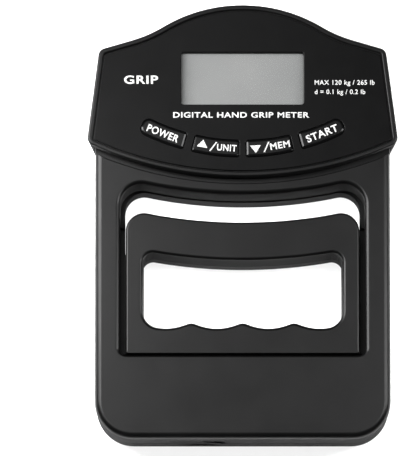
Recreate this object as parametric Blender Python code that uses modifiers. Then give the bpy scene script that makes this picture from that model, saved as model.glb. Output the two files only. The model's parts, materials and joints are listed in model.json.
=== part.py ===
"""Electronic hand dynamometer: a flat frame with a display head, and a sliding four-finger grip inside it.

It lies on its back. +Z comes out of the face, +Y points to the display end and +X to the reader's right.
All sizes below are millimetres. X is measured from the centre line and Z from the back. Y is measured from
a line just inside the palm edge, and the finished assembly hangs from an empty that moves its middle to the
world's origin.
"""

import math

import bmesh
import bpy
from mathutils import Matrix, Vector

MM = 0.001

# Overall
PALM_EDGE = -1.2
HEAD_TOP = 187.1
MIDDLE_Y = (PALM_EDGE + HEAD_TOP) / 2
WALL = 2.2
FIT = 0.3
CURVE_STEP = 20.0

# Frame, the lower casing
BODY_HALF_WIDTH = 62.95
BODY_CORNER = 16.3
BODY_FRONT = 27.0
PARTING = 11.5
BODY_TAPER = 0.9876
BACK_EDGE = 2.0
FRONT_EDGE = 3.0
OPENING_HALF_WIDTH = 52.1
OPENING_BOTTOM = 34.9
OPENING_TOP = 105.1
OPENING_TOP_RADIUS = 198.0
OPENING_LOWER_CORNER = 3.0
OPENING_UPPER_CORNER = 9.3
OPENING_EDGE = 2.0
OPENING_LOWER_EDGE = 1.0

# Display head
HEAD_FRONT = 31.0
HEAD_EDGE = 1.6
HEAD_BOTTOM = 111.8
HEAD_BOTTOM_RADIUS = 158.0
HEAD_LOWER_CORNER = (66.6, 126.6, 4.0)
HEAD_SHOULDER = (61.35, 167.45, 3.5)
SHOULDER_SLOPE = 16.6
DOME_SLOPE = 31.5
DOME_RADIUS = 65.0
NECK_RADIUS = 55.0
HEAD_TAPER = 0.955
HEAD_TAPER_CENTRE = 150.0
HEAD_RIM = 2.4
HEAD_WALL_BACK = 26.7
TUCK = 4.0
BACK_TOP = 127.5

# Face panel, display and buttons
PANEL_BACK = 29.2
PANEL_FRONT = 30.2
DISPLAY_HALF_WIDTH = 26.2
DISPLAY_BOTTOM = 143.5
DISPLAY_TOP = 166.4
DISPLAY_CORNER = 1.0
LENS_BACK = 27.2
LENS_FRONT = 28.6
GLASS_BACK = 23.6
GLASS_FRONT = 26.4
BACKLIGHT_BACK = 21.9
BACKLIGHT_FRONT = 23.3
BUTTON_ARC_CENTRE = 215.3
BUTTON_OUTER_RADIUS = 94.6
BUTTON_INNER_RADIUS = 87.7
BUTTON_SPANS = ((-27.95, -15.75), (-13.25, -1.05), (1.05, 13.25), (15.75, 27.95))
BUTTON_NAMES = ("button_power", "button_up", "button_down", "button_start")
BUTTON_END_ROUNDING = 3.0
BUTTON_CORNER = 0.8
BUTTON_EDGE = 0.4
BUTTON_TOP = 30.9
FLANGE_BACK = 25.6
FLANGE_FRONT = 26.4
FLANGE_LIP = 0.8
SWITCH_FRONT = 24.4
PLUNGER_FRONT = 25.0
PLUNGER_RADIUS = 1.6

# Grip
GRIP_HALF_WIDTH = 49.8
GRIP_BOTTOM = 36.2
GRIP_TOP = 93.3
GRIP_TOP_RADIUS = 212.0
GRIP_BACK = 3.0
GRIP_FRONT = 25.0
GRIP_PARTING = 14.0
GRIP_EDGE = 1.0
WINDOW_EDGE = 1.5
WINDOW_HALF_WIDTH = 42.6
WINDOW_TOP = 76.65
WINDOW_TOP_RADIUS = 219.0
FINGER_PITCH = 21.6
GROOVE_DEPTH = 2.0
GROOVE_BOTTOM = 46.6
TONGUE_OUTER = 58.0
TONGUE_BOTTOM = 38.0
TONGUE_TOP = 87.0
TONGUE_BACK = 8.5
TONGUE_FRONT = 13.7
GRIP_TRAVEL = 11.0

# Span adjustment and load cell
ROD_HEIGHT = 12.3
ROD_RADIUS = 4.0
ROD_BOTTOM = 7.5
ROD_TOP = 43.8
WHEEL_RADIUS = 11.5
WHEEL_BOTTOM = 23.4
WHEEL_TOP = 30.4
WHEEL_FLUTES = 24
CELL_LEFT = -52.0
CELL_RIGHT = 9.0
CELL_BOTTOM = 9.0
CELL_TOP = 21.7
CELL_BACK = 5.5
CELL_FRONT = 19.1
WASHER_RADIUS = 6.7
PIN_Y = 41.4
PIN_RADIUS = 1.2
ANCHOR_SCREWS_X = (-43.8, -35.2)
ANCHOR_SHANK = 2.0
ANCHOR_HEAD = 3.4
WELL_FLOOR = 3.0
WELL_PAD = 5.2

# Screws, as (x, y) of their axes
LOWER_SCREWS = ((-50.0, 28.0), (50.0, 28.0))
MIDDLE_SCREWS = ((-50.0, 121.0), (50.0, 121.0))
TOP_SCREWS = ((-50.0, 160.0), (50.0, 160.0))
GRIP_SCREWS = ((-45.3, 41.4), (45.3, 41.4), (-43.0, 87.5), (43.0, 87.5))
BOSS_RADIUS = 3.6
CASE_SHANK = 1.4
CASE_HEAD = 2.6
CASE_HEAD_SEAT = 3.0
CASE_SCREW_END = 22.0
GRIP_SHANK = 1.2
GRIP_HEAD = 2.3
GRIP_HEAD_SEAT = 6.2
GRIP_SCREW_END = 20.5
SCREW_HEAD_HEIGHT = 1.6

# Charging socket
SOCKET_X = -12.0
SOCKET_HALF_WIDTH = 4.5
SOCKET_HALF_HEIGHT = 1.6
BOARD_BACK = 20.0
BOARD_FRONT = 21.6


# Outlines ---------------------------------------------------------------------------------------------


def circle_point(centre_x, centre_y, radius, degrees):
    """A point on a circle, its angle counted from straight down, positive towards +X."""
    turn = math.radians(degrees)
    return (centre_x + radius * math.sin(turn), centre_y - radius * math.cos(turn))


def sag_arc(lowest, radius, from_x, to_x, count):
    """Points along an arc that is lowest on the centre line, as (x, y, 0)."""
    first = math.degrees(math.asin(from_x / radius))
    last = math.degrees(math.asin(to_x / radius))
    angles = [first + (last - first) * i / (count - 1) for i in range(count)]
    return [(*circle_point(0.0, lowest + radius, radius, angle), 0.0) for angle in angles]


def rounded(corners):
    """The outline through corners (x, y, radius), each with a radius turned into an arc."""
    outline = []
    for i, (x, y, radius) in enumerate(corners):
        here = Vector((x, y))
        if radius == 0.0:
            outline.append((x, y))
            continue
        before = (Vector(corners[i - 1][:2]) - here).normalized()
        after = (Vector(corners[(i + 1) % len(corners)][:2]) - here).normalized()
        half = before.angle(after) / 2
        centre = here + (before + after).normalized() * radius / math.sin(half)
        start = here + before * radius / math.tan(half) - centre
        turn = start.angle_signed(here + after * radius / math.tan(half) - centre)
        steps = max(2, math.ceil(math.degrees(abs(turn)) / CURVE_STEP))
        for step in range(steps + 1):
            arm = Matrix.Rotation(-turn * step / steps, 2) @ start
            outline.append(tuple(centre + arm))
    return outline


def mirrored(right_half):
    """The whole outline from its right half, which runs from the bottom to the top of the centre line."""
    left_half = [(-x, y, radius) for x, y, radius in reversed(right_half) if x > 0.01]
    return rounded(right_half + left_half)


def inset(outline, distance):
    """The outline moved inwards by a distance, or outwards by a negative one. It may vary from point to point."""
    moved = []
    for i, point in enumerate(outline):
        step = distance(point) if callable(distance) else distance
        here = Vector(point)
        before = (here - Vector(outline[i - 1])).normalized()
        after = (Vector(outline[(i + 1) % len(outline)]) - here).normalized()
        inward = (before + after).normalized().orthogonal()
        moved.append(tuple(here + inward * step / max(0.2, inward.dot(before.orthogonal()))))
    return moved


def head_outline():
    half = sag_arc(HEAD_BOTTOM, HEAD_BOTTOM_RADIUS, 0.0, 0.85 * HEAD_LOWER_CORNER[0], 7)
    half += [HEAD_LOWER_CORNER, HEAD_SHOULDER]
    dome_centre = HEAD_TOP - DOME_RADIUS
    dome_x, dome_y = circle_point(0.0, dome_centre, DOME_RADIUS, 180.0 - DOME_SLOPE)
    neck_x, neck_y = circle_point(dome_x, dome_y, NECK_RADIUS, 180.0 - DOME_SLOPE)
    for i in range(5):
        slope = SHOULDER_SLOPE + (DOME_SLOPE - SHOULDER_SLOPE) * i / 5
        half.append((*circle_point(neck_x, neck_y, NECK_RADIUS, -slope), 0.0))
    for i in range(8):
        slope = DOME_SLOPE * (1 - i / 7)
        half.append((*circle_point(0.0, dome_centre, DOME_RADIUS, 180.0 - slope), 0.0))
    return mirrored(half)


def body_outline():
    """The frame's outline. Its upper edge tucks under the display head."""
    top_edge = sag_arc(HEAD_BOTTOM + TUCK, HEAD_BOTTOM_RADIUS - TUCK, BODY_HALF_WIDTH, 0.0, 8)
    return mirrored([(0.0, PALM_EDGE, 0.0), (BODY_HALF_WIDTH, PALM_EDGE, BODY_CORNER)] + top_edge)


def body_back_outline():
    """The same frame at the back, where it runs up into the head's housing."""
    corner = (BODY_HALF_WIDTH, BACK_TOP, 0.0)
    bottom = [(0.0, PALM_EDGE, 0.0), (BODY_HALF_WIDTH, PALM_EDGE, BODY_CORNER)]
    return mirrored([*bottom, corner, (0.0, BACK_TOP, 0.0)])


def opening_outline():
    radius = OPENING_TOP_RADIUS
    corner_y = OPENING_TOP + radius - math.sqrt(radius**2 - OPENING_HALF_WIDTH**2)
    half = [(0.0, OPENING_BOTTOM, 0.0), (OPENING_HALF_WIDTH, OPENING_BOTTOM, OPENING_LOWER_CORNER)]
    half.append((OPENING_HALF_WIDTH, corner_y, OPENING_UPPER_CORNER))
    return mirrored(half + sag_arc(OPENING_TOP, radius, 38.0, 0.0, 6))


def opening_edge(point):
    """How far the opening's rounded front edge reaches: less along its lower side, where the grip meets it."""
    share = min(1.0, max(0.0, (point[1] - OPENING_BOTTOM) / OPENING_LOWER_CORNER))
    return OPENING_LOWER_EDGE + (OPENING_EDGE - OPENING_LOWER_EDGE) * share


def grip_outline():
    corner_y = GRIP_TOP + GRIP_TOP_RADIUS - math.sqrt(GRIP_TOP_RADIUS**2 - GRIP_HALF_WIDTH**2)
    half = [(0.0, GRIP_BOTTOM, 0.0), (GRIP_HALF_WIDTH, GRIP_BOTTOM, 1.0), (GRIP_HALF_WIDTH, corner_y, 7.9)]
    return mirrored(half + sag_arc(GRIP_TOP, GRIP_TOP_RADIUS, 38.0, 0.0, 6))


def window_outline():
    """The finger window, with four finger grooves along its lower edge."""
    half = []
    steps = 12
    for i in range(steps + 1):
        x = 1.5 * FINGER_PITCH * i / steps
        wave = 0.5 + 0.5 * math.cos(2 * math.pi * x / FINGER_PITCH)
        half.append((x, GROOVE_BOTTOM + GROOVE_DEPTH * wave, 0.0))
    corner_y = WINDOW_TOP + WINDOW_TOP_RADIUS - math.sqrt(WINDOW_TOP_RADIUS**2 - WINDOW_HALF_WIDTH**2)
    half += [(WINDOW_HALF_WIDTH, GROOVE_BOTTOM, 5.5), (WINDOW_HALF_WIDTH, corner_y, 4.5)]
    return mirrored(half + sag_arc(WINDOW_TOP, WINDOW_TOP_RADIUS, 36.0, 0.0, 6))


def rectangle(low_x, high_x, low_y, high_y, radius=0.0):
    corners = ((low_x, low_y), (high_x, low_y), (high_x, high_y), (low_x, high_y))
    return rounded([(x, y, radius) for x, y in corners])


def button_outline(span, grow=0.0):
    """One button: a piece of a ring, fully rounded at the outer end of the row."""
    first, last = span
    outer, inner = BUTTON_OUTER_RADIUS + grow, BUTTON_INNER_RADIUS - grow
    spread = math.degrees(grow / inner)
    first_end, last_end = first - spread, last + spread
    first_radius = (BUTTON_END_ROUNDING if span is BUTTON_SPANS[0] else BUTTON_CORNER) + grow
    last_radius = (BUTTON_END_ROUNDING if span is BUTTON_SPANS[-1] else BUTTON_CORNER) + grow
    between = [first + (last - first) * share for share in (0.3, 0.5, 0.7)]

    def corner(radius, degrees, rounding):
        return (*circle_point(0.0, BUTTON_ARC_CENTRE, radius, degrees), rounding)

    corners = [corner(outer, first_end, first_radius)]
    corners += [corner(outer, degrees, 0.0) for degrees in between]
    corners += [corner(outer, last_end, last_radius), corner(inner, last_end, last_radius)]
    corners += [corner(inner, degrees, 0.0) for degrees in reversed(between)]
    corners.append(corner(inner, first_end, first_radius))
    return rounded(corners)


def wheel_outline():
    outline = []
    for i in range(2 * WHEEL_FLUTES):
        radius = WHEEL_RADIUS - (0.0 if i % 2 else 0.7)
        outline.append(circle_point(0.0, 0.0, radius, 180.0 * i / WHEEL_FLUTES))
    return outline


# Solids -----------------------------------------------------------------------------------------------


def clear_scene():
    for obj in list(bpy.data.objects):
        bpy.data.objects.remove(obj)


def new_collection(name):
    collection = bpy.data.collections.new(name)
    bpy.context.scene.collection.children.link(collection)
    return collection


def material(name, colour, roughness, metallic=0.0):
    made = bpy.data.materials.new(name)
    made.use_nodes = True
    shader = made.node_tree.nodes["Principled BSDF"]
    shader.inputs["Base Color"].default_value = (*colour, 1.0)
    shader.inputs["Roughness"].default_value = roughness
    shader.inputs["Metallic"].default_value = metallic
    return made


clear_scene()
PARTS = new_collection("hand_dynamometer")
CUTTERS = new_collection("cutters")
ASSEMBLY = bpy.data.objects.new("assembly", None)
ASSEMBLY.location = (0.0, -MIDDLE_Y * MM, 0.0)
PARTS.objects.link(ASSEMBLY)

SATIN_BLACK = material("satin_black_abs", (0.035, 0.035, 0.036), 0.42)
GLOSS_BLACK = material("gloss_black_panel", (0.012, 0.012, 0.013), 0.18)
CLEAR = material("clear_window", (0.75, 0.77, 0.78), 0.05)
DISPLAY_GREY = material("display_grey", (0.33, 0.34, 0.34), 0.3)
WHITE_PLASTIC = material("white_plastic", (0.82, 0.82, 0.8), 0.5)
BOARD_GREEN = material("circuit_board", (0.03, 0.16, 0.07), 0.45)
CHIP_BLACK = material("chip_black", (0.02, 0.02, 0.022), 0.5)
STEEL = material("steel", (0.55, 0.55, 0.56), 0.32, 1.0)
ALUMINIUM = material("aluminium", (0.72, 0.73, 0.74), 0.4, 1.0)
NYLON = material("black_nylon", (0.03, 0.03, 0.03), 0.55)
FOIL = material("battery_wrap", (0.15, 0.3, 0.5), 0.4)
RUBBER = material("cable_sheath", (0.04, 0.04, 0.042), 0.7)


def add_object(name, mesh, collection, colour):
    obj = bpy.data.objects.new(name, mesh)
    collection.objects.link(obj)
    obj.parent = ASSEMBLY
    if colour is not None:
        mesh.materials.append(colour)
    if collection is CUTTERS:
        obj.hide_render = True
        obj.display_type = "WIRE"
    return obj


def finish_mesh(obj):
    obj.data.shade_smooth()
    obj.data.set_sharp_from_angle(angle=math.radians(30))


def extruded(name, outline, low, high, colour=None, top_round=0.0, bottom_round=0.0):
    """A flat outline filled and thickened from low to high, with its rims rounded."""
    curve = bpy.data.curves.new(name, "CURVE")
    curve.dimensions = "2D"
    curve.fill_mode = "BOTH"
    curve.extrude = (high - low) / 2 * MM
    spline = curve.splines.new("POLY")
    spline.points.add(len(outline) - 1)
    for point, (x, y) in zip(spline.points, outline):
        point.co = (x * MM, y * MM, 0.0, 1.0)
    spline.use_cyclic_u = True
    guide = bpy.data.objects.new(name + "_outline", curve)
    CUTTERS.objects.link(guide)
    graph = bpy.context.evaluated_depsgraph_get()
    mesh = bpy.data.meshes.new_from_object(guide.evaluated_get(graph))
    bpy.data.objects.remove(guide)
    middle = (low + high) / 2 * MM
    shape = bmesh.new()
    shape.from_mesh(mesh)
    bmesh.ops.remove_doubles(shape, verts=shape.verts, dist=0.001 * MM)
    bmesh.ops.translate(shape, verts=shape.verts, vec=(0.0, 0.0, middle))
    bmesh.ops.dissolve_limit(shape, angle_limit=math.radians(0.5), verts=shape.verts, edges=shape.edges)
    bmesh.ops.recalc_face_normals(shape, faces=shape.faces)
    for level, radius in ((high * MM, top_round), (low * MM, bottom_round)):
        if radius == 0.0:
            continue
        rim = [edge for edge in shape.edges if all(abs(v.co.z - level) < 1e-6 for v in edge.verts)]
        bmesh.ops.bevel(shape, geom=rim, offset=radius * MM, segments=2, profile=0.5, affect="EDGES")
    shape.to_mesh(mesh)
    shape.free()
    obj = add_object(name, mesh, PARTS if colour else CUTTERS, colour)
    finish_mesh(obj)
    return obj


def flared(name, outline, low, high, edge):
    """A cutter along an outline that opens out near the top, so that what it cuts has a rounded front edge.

    edge is the rounding's radius, or a function that gives it at a point.
    """
    reach = edge if callable(edge) else lambda point: edge
    rings = [(0.0, None)]
    rings += [(1.0 - math.cos(math.radians(turn)), 1.0 - math.sin(math.radians(turn))) for turn in (0, 30, 60, 90)]
    shape = bmesh.new()
    loops = []
    for out, down in rings:
        moved = inset(outline, lambda point: -out * reach(point))
        heights = [low if down is None else high - down * reach(point) for point in outline]
        loops.append([shape.verts.new((x * MM, y * MM, z * MM)) for (x, y), z in zip(moved, heights)])
    loops.append([shape.verts.new(vertex.co + Vector((0.0, 0.0, MM))) for vertex in loops[-1]])
    for lower, upper in zip(loops, loops[1:]):
        for i in range(len(lower)):
            shape.faces.new((lower[i - 1], lower[i], upper[i], upper[i - 1]))
    shape.faces.new(loops[0])
    shape.faces.new(loops[-1])
    bmesh.ops.recalc_face_normals(shape, faces=shape.faces)
    mesh = bpy.data.meshes.new(name)
    shape.to_mesh(mesh)
    shape.free()
    return add_object(name, mesh, CUTTERS, None)


def block(name, low, high, colour=None, rounding=0.0):
    """A box from its lowest to its highest corner."""
    shape = bmesh.new()
    bmesh.ops.create_cube(shape, size=1.0)
    for vertex in shape.verts:
        vertex.co = [(a + (b - a) * (c + 0.5)) * MM for a, b, c in zip(low, high, vertex.co)]
    if rounding:
        bmesh.ops.bevel(shape, geom=shape.edges[:], offset=rounding * MM, segments=2, profile=0.5, affect="EDGES")
    mesh = bpy.data.meshes.new(name)
    shape.to_mesh(mesh)
    shape.free()
    obj = add_object(name, mesh, PARTS if colour else CUTTERS, colour)
    finish_mesh(obj)
    return obj


def rods(name, ends, radius, colour=None, sides=16):
    """Round bars in one mesh, each from one end point to another. As a cutter, they drill holes."""
    shape = bmesh.new()
    for start, end in ends:
        axis = Vector(end) - Vector(start)
        place = Matrix.Translation((Vector(start) + Vector(end)) / 2 * MM)
        turn = axis.to_track_quat("Z", "Y").to_matrix().to_4x4()
        bmesh.ops.create_cone(
            shape,
            cap_ends=True,
            segments=sides,
            radius1=radius * MM,
            radius2=radius * MM,
            depth=axis.length * MM,
            matrix=place @ turn,
        )
    mesh = bpy.data.meshes.new(name)
    shape.to_mesh(mesh)
    shape.free()
    obj = add_object(name, mesh, PARTS if colour else CUTTERS, colour)
    finish_mesh(obj)
    return obj


def turned(name, profile, place, colour, steps=20):
    """A round piece from (radius, height) points, running down its outer side, on an upright axis at place."""
    mesh = bpy.data.meshes.new(name)
    points = [(radius * MM, 0.0, height * MM) for radius, height in profile]
    mesh.from_pydata(points, [(i, i + 1) for i in range(len(points) - 1)], [])
    obj = add_object(name, mesh, PARTS, colour)
    obj.location = [value * MM for value in place]
    screw = obj.modifiers.new("turn", "SCREW")
    screw.steps = steps
    screw.render_steps = steps
    screw.use_merge_vertices = True
    screw.merge_threshold = 1e-6
    screw.use_smooth_shade = False
    return obj


def boolean(target, other, operation):
    step = target.modifiers.new(other.name, "BOOLEAN")
    step.operation = operation
    step.solver = "EXACT"
    step.object = other


def cut(target, *others):
    for other in others:
        boolean(target, other, "DIFFERENCE")


def join(target, *others):
    for other in others:
        boolean(target, other, "UNION")


def wire(name, route, diameter, colour):
    """A cable along a smooth curve through the route's points."""
    curve = bpy.data.curves.new(name, "CURVE")
    curve.dimensions = "3D"
    curve.bevel_depth = diameter / 2 * MM
    curve.bevel_resolution = 2
    curve.use_fill_caps = True
    curve.resolution_u = 1
    points = smooth_route([Vector(point) for point in route], 2.5 * diameter)
    spline = curve.splines.new("POLY")
    spline.points.add(len(points) - 1)
    for point, place in zip(spline.points, points):
        point.co = (*(place * MM), 1.0)
    curve.materials.append(colour)
    obj = bpy.data.objects.new(name, curve)
    PARTS.objects.link(obj)
    obj.parent = ASSEMBLY
    return obj


def smooth_route(route, spacing):
    """Evenly spaced points on the Catmull-Rom curve through the route."""
    padded = [2 * route[0] - route[1], *route, 2 * route[-1] - route[-2]]
    fine = []
    for a, b, c, d in zip(padded, padded[1:], padded[2:], padded[3:]):
        for i in range(20):
            t = i / 20
            linear = (c - a) * t
            square = (2 * a - 5 * b + 4 * c - d) * t**2
            cube = (3 * b - a - 3 * c + d) * t**3
            fine.append((2 * b + linear + square + cube) / 2)
    fine.append(route[-1])
    kept = [fine[0]]
    for point in fine:
        if (point - kept[-1]).length >= spacing:
            kept.append(point)
    if (fine[-1] - kept[-1]).length < spacing / 2:
        kept.pop()
    return [*kept, fine[-1]]


def tapered(obj, back_scale, front, centre_y):
    """The same object, narrowing evenly from its full size at the front height to back_scale at the back."""
    for vertex in obj.data.vertices:
        scale = back_scale + (1.0 - back_scale) * vertex.co.z / (front * MM)
        vertex.co.x *= scale
        vertex.co.y = (centre_y + (vertex.co.y / MM - centre_y) * scale) * MM
    return obj


def tapered_head(name, low, high, shrink, colour=None, top_round=0.0, bottom_round=0.0):
    outline = inset(head_outline(), shrink)
    obj = extruded(name, outline, low, high, colour, top_round, bottom_round)
    return tapered(obj, HEAD_TAPER, HEAD_FRONT, HEAD_TAPER_CENTRE)


def tapered_body(name, outline, low, high, colour=None, top_round=0.0, bottom_round=0.0):
    obj = extruded(name, outline, low, high, colour, top_round, bottom_round)
    return tapered(obj, BODY_TAPER, BODY_FRONT, BACK_TOP)


# Frame shells -----------------------------------------------------------------------------------------


def ring_cavity(name, outline, low, high):
    """The hollow between a shell's outer wall and the wall round the opening."""
    hollow = tapered_body(name, inset(outline, WALL), low, high)
    core = extruded(name + "_core", inset(opening_outline(), -WALL), low - 1.0, high + 1.0)
    cut(hollow, core)
    return hollow


def tongue_channels():
    low = (OPENING_HALF_WIDTH - 1.0, TONGUE_BOTTOM - 1.5, TONGUE_BACK - 0.4)
    high = (TONGUE_OUTER + 0.4, TONGUE_TOP + GRIP_TRAVEL + 1.0, TONGUE_FRONT + 0.4)
    right = block("channel_right", low, high)
    left = block("channel_left", (-high[0], low[1], low[2]), (-low[0], high[1], high[2]))
    return left, right


def screw_ends(places, low, high):
    return [((x, y, low), (x, y, high)) for x, y in places]


def palm_edge_cutters():
    """The socket's slot in the palm edge and the shallow scoop round it."""
    slot = block(
        "socket_slot",
        (SOCKET_X - SOCKET_HALF_WIDTH - FIT, PALM_EDGE - 1.0, ROD_HEIGHT - SOCKET_HALF_HEIGHT - FIT),
        (SOCKET_X + SOCKET_HALF_WIDTH + FIT, WALL + 1.0, ROD_HEIGHT + SOCKET_HALF_HEIGHT + FIT),
    )
    scoop = rods("palm_scoop", [((-18.0, -89.6, 6.0), (-18.0, -89.6, 18.6))], 90.0, sides=144)
    return slot, scoop


def frame_shells():
    channels = tongue_channels()
    opening = flared("opening", opening_outline(), -1.0, BODY_FRONT, opening_edge)
    rod_hole = rods("rod_hole", [((0.0, 31.0, ROD_HEIGHT), (0.0, 36.0, ROD_HEIGHT))], ROD_RADIUS + 0.6)
    palm_edge = palm_edge_cutters()
    shank_holes = rods(
        "case_shank_holes",
        screw_ends(LOWER_SCREWS + MIDDLE_SCREWS, -1.0, CASE_SCREW_END + 0.5),
        CASE_SHANK + FIT,
    )

    outline = body_back_outline()
    rear = tapered_body("frame_rear_shell", outline, 0.0, PARTING, SATIN_BLACK, bottom_round=BACK_EDGE)
    head_back = tapered_head("head_back", 0.0, PARTING, 0.0, bottom_round=BACK_EDGE)
    join(rear, head_back)
    cut(rear, ring_cavity("rear_cavity", outline, WALL, PARTING + 1.0))
    head_cavity = tapered_head("head_back_cavity", WALL, PARTING + 1.0, WALL)
    core = extruded("head_cavity_core", inset(opening_outline(), -WALL), WALL - 1.0, PARTING + 2.0)
    cut(head_cavity, core)
    cut(rear, head_cavity)
    bosses = rods(
        "rear_bosses", screw_ends(LOWER_SCREWS + MIDDLE_SCREWS + TOP_SCREWS, WALL / 2, PARTING), BOSS_RADIUS
    )
    join(rear, bosses)
    pad = block("well_pad", (-22.0, 18.0, WALL / 2), (22.0, OPENING_BOTTOM - WALL / 2, WELL_PAD))
    join(rear, pad)
    well = extruded("thumb_well", rectangle(-19.5, 19.5, 20.5, 31.8, 4.0), -1.0, WELL_FLOOR)
    slot = block("wheel_slot", (-9.6, WHEEL_BOTTOM - 0.5, 0.0), (9.6, WHEEL_TOP + 0.5, WELL_PAD + 1.0))
    heads = rods(
        "case_head_holes",
        screw_ends(LOWER_SCREWS + MIDDLE_SCREWS + TOP_SCREWS, -1.0, CASE_HEAD_SEAT + 0.2),
        CASE_HEAD + FIT,
    )
    top_shanks = rods("top_shank_holes", screw_ends(TOP_SCREWS, 0.0, PARTING + 1.0), CASE_SHANK + FIT)
    cut(rear, well, slot, heads, shank_holes, top_shanks, opening, *channels, rod_hole, *palm_edge)

    outline = body_outline()
    front = tapered_body(
        "frame_front_shell", outline, PARTING + FIT, BODY_FRONT, SATIN_BLACK, top_round=FRONT_EDGE
    )
    cut(front, ring_cavity("front_cavity", outline, PARTING - 1.0, BODY_FRONT - WALL))
    join(
        front,
        rods(
            "front_bosses",
            screw_ends(LOWER_SCREWS + MIDDLE_SCREWS, PARTING + FIT, BODY_FRONT - WALL / 2),
            BOSS_RADIUS,
        ),
    )
    cut(front, shank_holes, opening, *channels, rod_hole, *palm_edge)
    cable_way = block("cable_way", (-60.5, 122.0, PARTING - 1.0), (60.5, 135.0, BODY_FRONT - WALL))
    centre_way = block("board_way", (-46.0, 111.5, PARTING - 1.0), (46.0, 123.0, BODY_FRONT - WALL))
    cut(centre_way, extruded("way_core", inset(opening_outline(), -WALL), PARTING - 2.0, BODY_FRONT + 1.0))
    cut(front, cable_way, centre_way)


def screw_profile(shank, head, seat, end):
    """A screw driven in from the back: its pan head lies below its seat."""
    low = seat - SCREW_HEAD_HEIGHT
    return [(0.0, end), (shank, end), (shank, seat), (head, seat), (head, low + 0.5), (head - 0.5, low), (0.0, low)]


def case_screws():
    profile = screw_profile(CASE_SHANK, CASE_HEAD, CASE_HEAD_SEAT, CASE_SCREW_END)
    for i, (x, y) in enumerate(LOWER_SCREWS + MIDDLE_SCREWS + TOP_SCREWS):
        turned(f"case_screw_{i + 1}", profile, (x, y, 0.0), STEEL, steps=12)


# Display head -----------------------------------------------------------------------------------------


def display_outline(grow):
    return rectangle(
        -DISPLAY_HALF_WIDTH - grow,
        DISPLAY_HALF_WIDTH + grow,
        DISPLAY_BOTTOM - grow,
        DISPLAY_TOP + grow,
        DISPLAY_CORNER,
    )


def head_cover():
    low = PARTING + FIT
    cover = tapered_head("head_cover", low, HEAD_FRONT, 0.0, SATIN_BLACK, top_round=HEAD_EDGE)
    hollow = tapered_head("cover_cavity", low - 1.0, HEAD_WALL_BACK, WALL)
    cut(cover, hollow)
    frame_room = tapered_body("frame_room", inset(body_outline(), -FIT), low - 1.0, BODY_FRONT + FIT)
    cut(cover, frame_room)
    panel_room = extruded("panel_room", inset(head_outline(), HEAD_RIM), PANEL_BACK - FIT, HEAD_FRONT + 1.0)
    cut(cover, panel_room)
    join(cover, rods("cover_bosses", screw_ends(TOP_SCREWS, low, HEAD_WALL_BACK + 1.0), BOSS_RADIUS))
    cut(cover, rods("cover_pilots", screw_ends(TOP_SCREWS, low - 1.0, CASE_SCREW_END + 0.5), CASE_SHANK + FIT))
    cut(cover, extruded("display_hole", display_outline(0.0), HEAD_WALL_BACK - 2.0, HEAD_FRONT))
    for name, span in zip(BUTTON_NAMES, BUTTON_SPANS):
        cut(cover, extruded(name + "_hole", button_outline(span, FIT), HEAD_WALL_BACK - 2.0, HEAD_FRONT))


def face_panel():
    outline = inset(head_outline(), HEAD_RIM + FIT)
    panel = extruded("face_panel", outline, PANEL_BACK, PANEL_FRONT, GLOSS_BLACK)
    cut(panel, extruded("panel_display_hole", display_outline(0.0), PANEL_BACK - 1.0, HEAD_FRONT))
    for name, span in zip(BUTTON_NAMES, BUTTON_SPANS):
        cut(panel, extruded(name + "_slot", button_outline(span, FIT), PANEL_BACK - 1.0, HEAD_FRONT))


def display():
    extruded("display_window", display_outline(-FIT), LENS_BACK, LENS_FRONT, CLEAR)
    block("display_glass", (-30.0, 140.0, GLASS_BACK), (30.0, 170.0, GLASS_FRONT), DISPLAY_GREY)
    block("display_backlight", (-29.0, 143.0, BACKLIGHT_BACK), (29.0, 169.5, BACKLIGHT_FRONT), WHITE_PLASTIC)
    block("display_contact_strip", (-27.0, 140.5, BACKLIGHT_BACK), (27.0, 142.6, BACKLIGHT_FRONT), RUBBER)


def buttons():
    """Each cap has a flange below the cover, which keeps it in, and stands over its switch."""
    middle_radius = (BUTTON_OUTER_RADIUS + BUTTON_INNER_RADIUS) / 2
    for name, span in zip(BUTTON_NAMES, BUTTON_SPANS):
        cap = extruded(name, button_outline(span), FLANGE_BACK, BUTTON_TOP, NYLON, top_round=BUTTON_EDGE)
        join(cap, extruded(name + "_flange", button_outline(span, FLANGE_LIP), FLANGE_BACK, FLANGE_FRONT))
        x, y = circle_point(0.0, BUTTON_ARC_CENTRE, middle_radius, sum(span) / 2)
        switch = name.replace("button", "switch")
        low, high = (x - 3.0, y - 3.0, BOARD_FRONT + FIT), (x + 3.0, y + 3.0, SWITCH_FRONT)
        body = block(switch, low, high, CHIP_BLACK)
        plunger = [((x, y, SWITCH_FRONT - 0.4), (x, y, PLUNGER_FRONT))]
        join(body, rods(switch + "_plunger", plunger, PLUNGER_RADIUS, sides=14))


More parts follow.
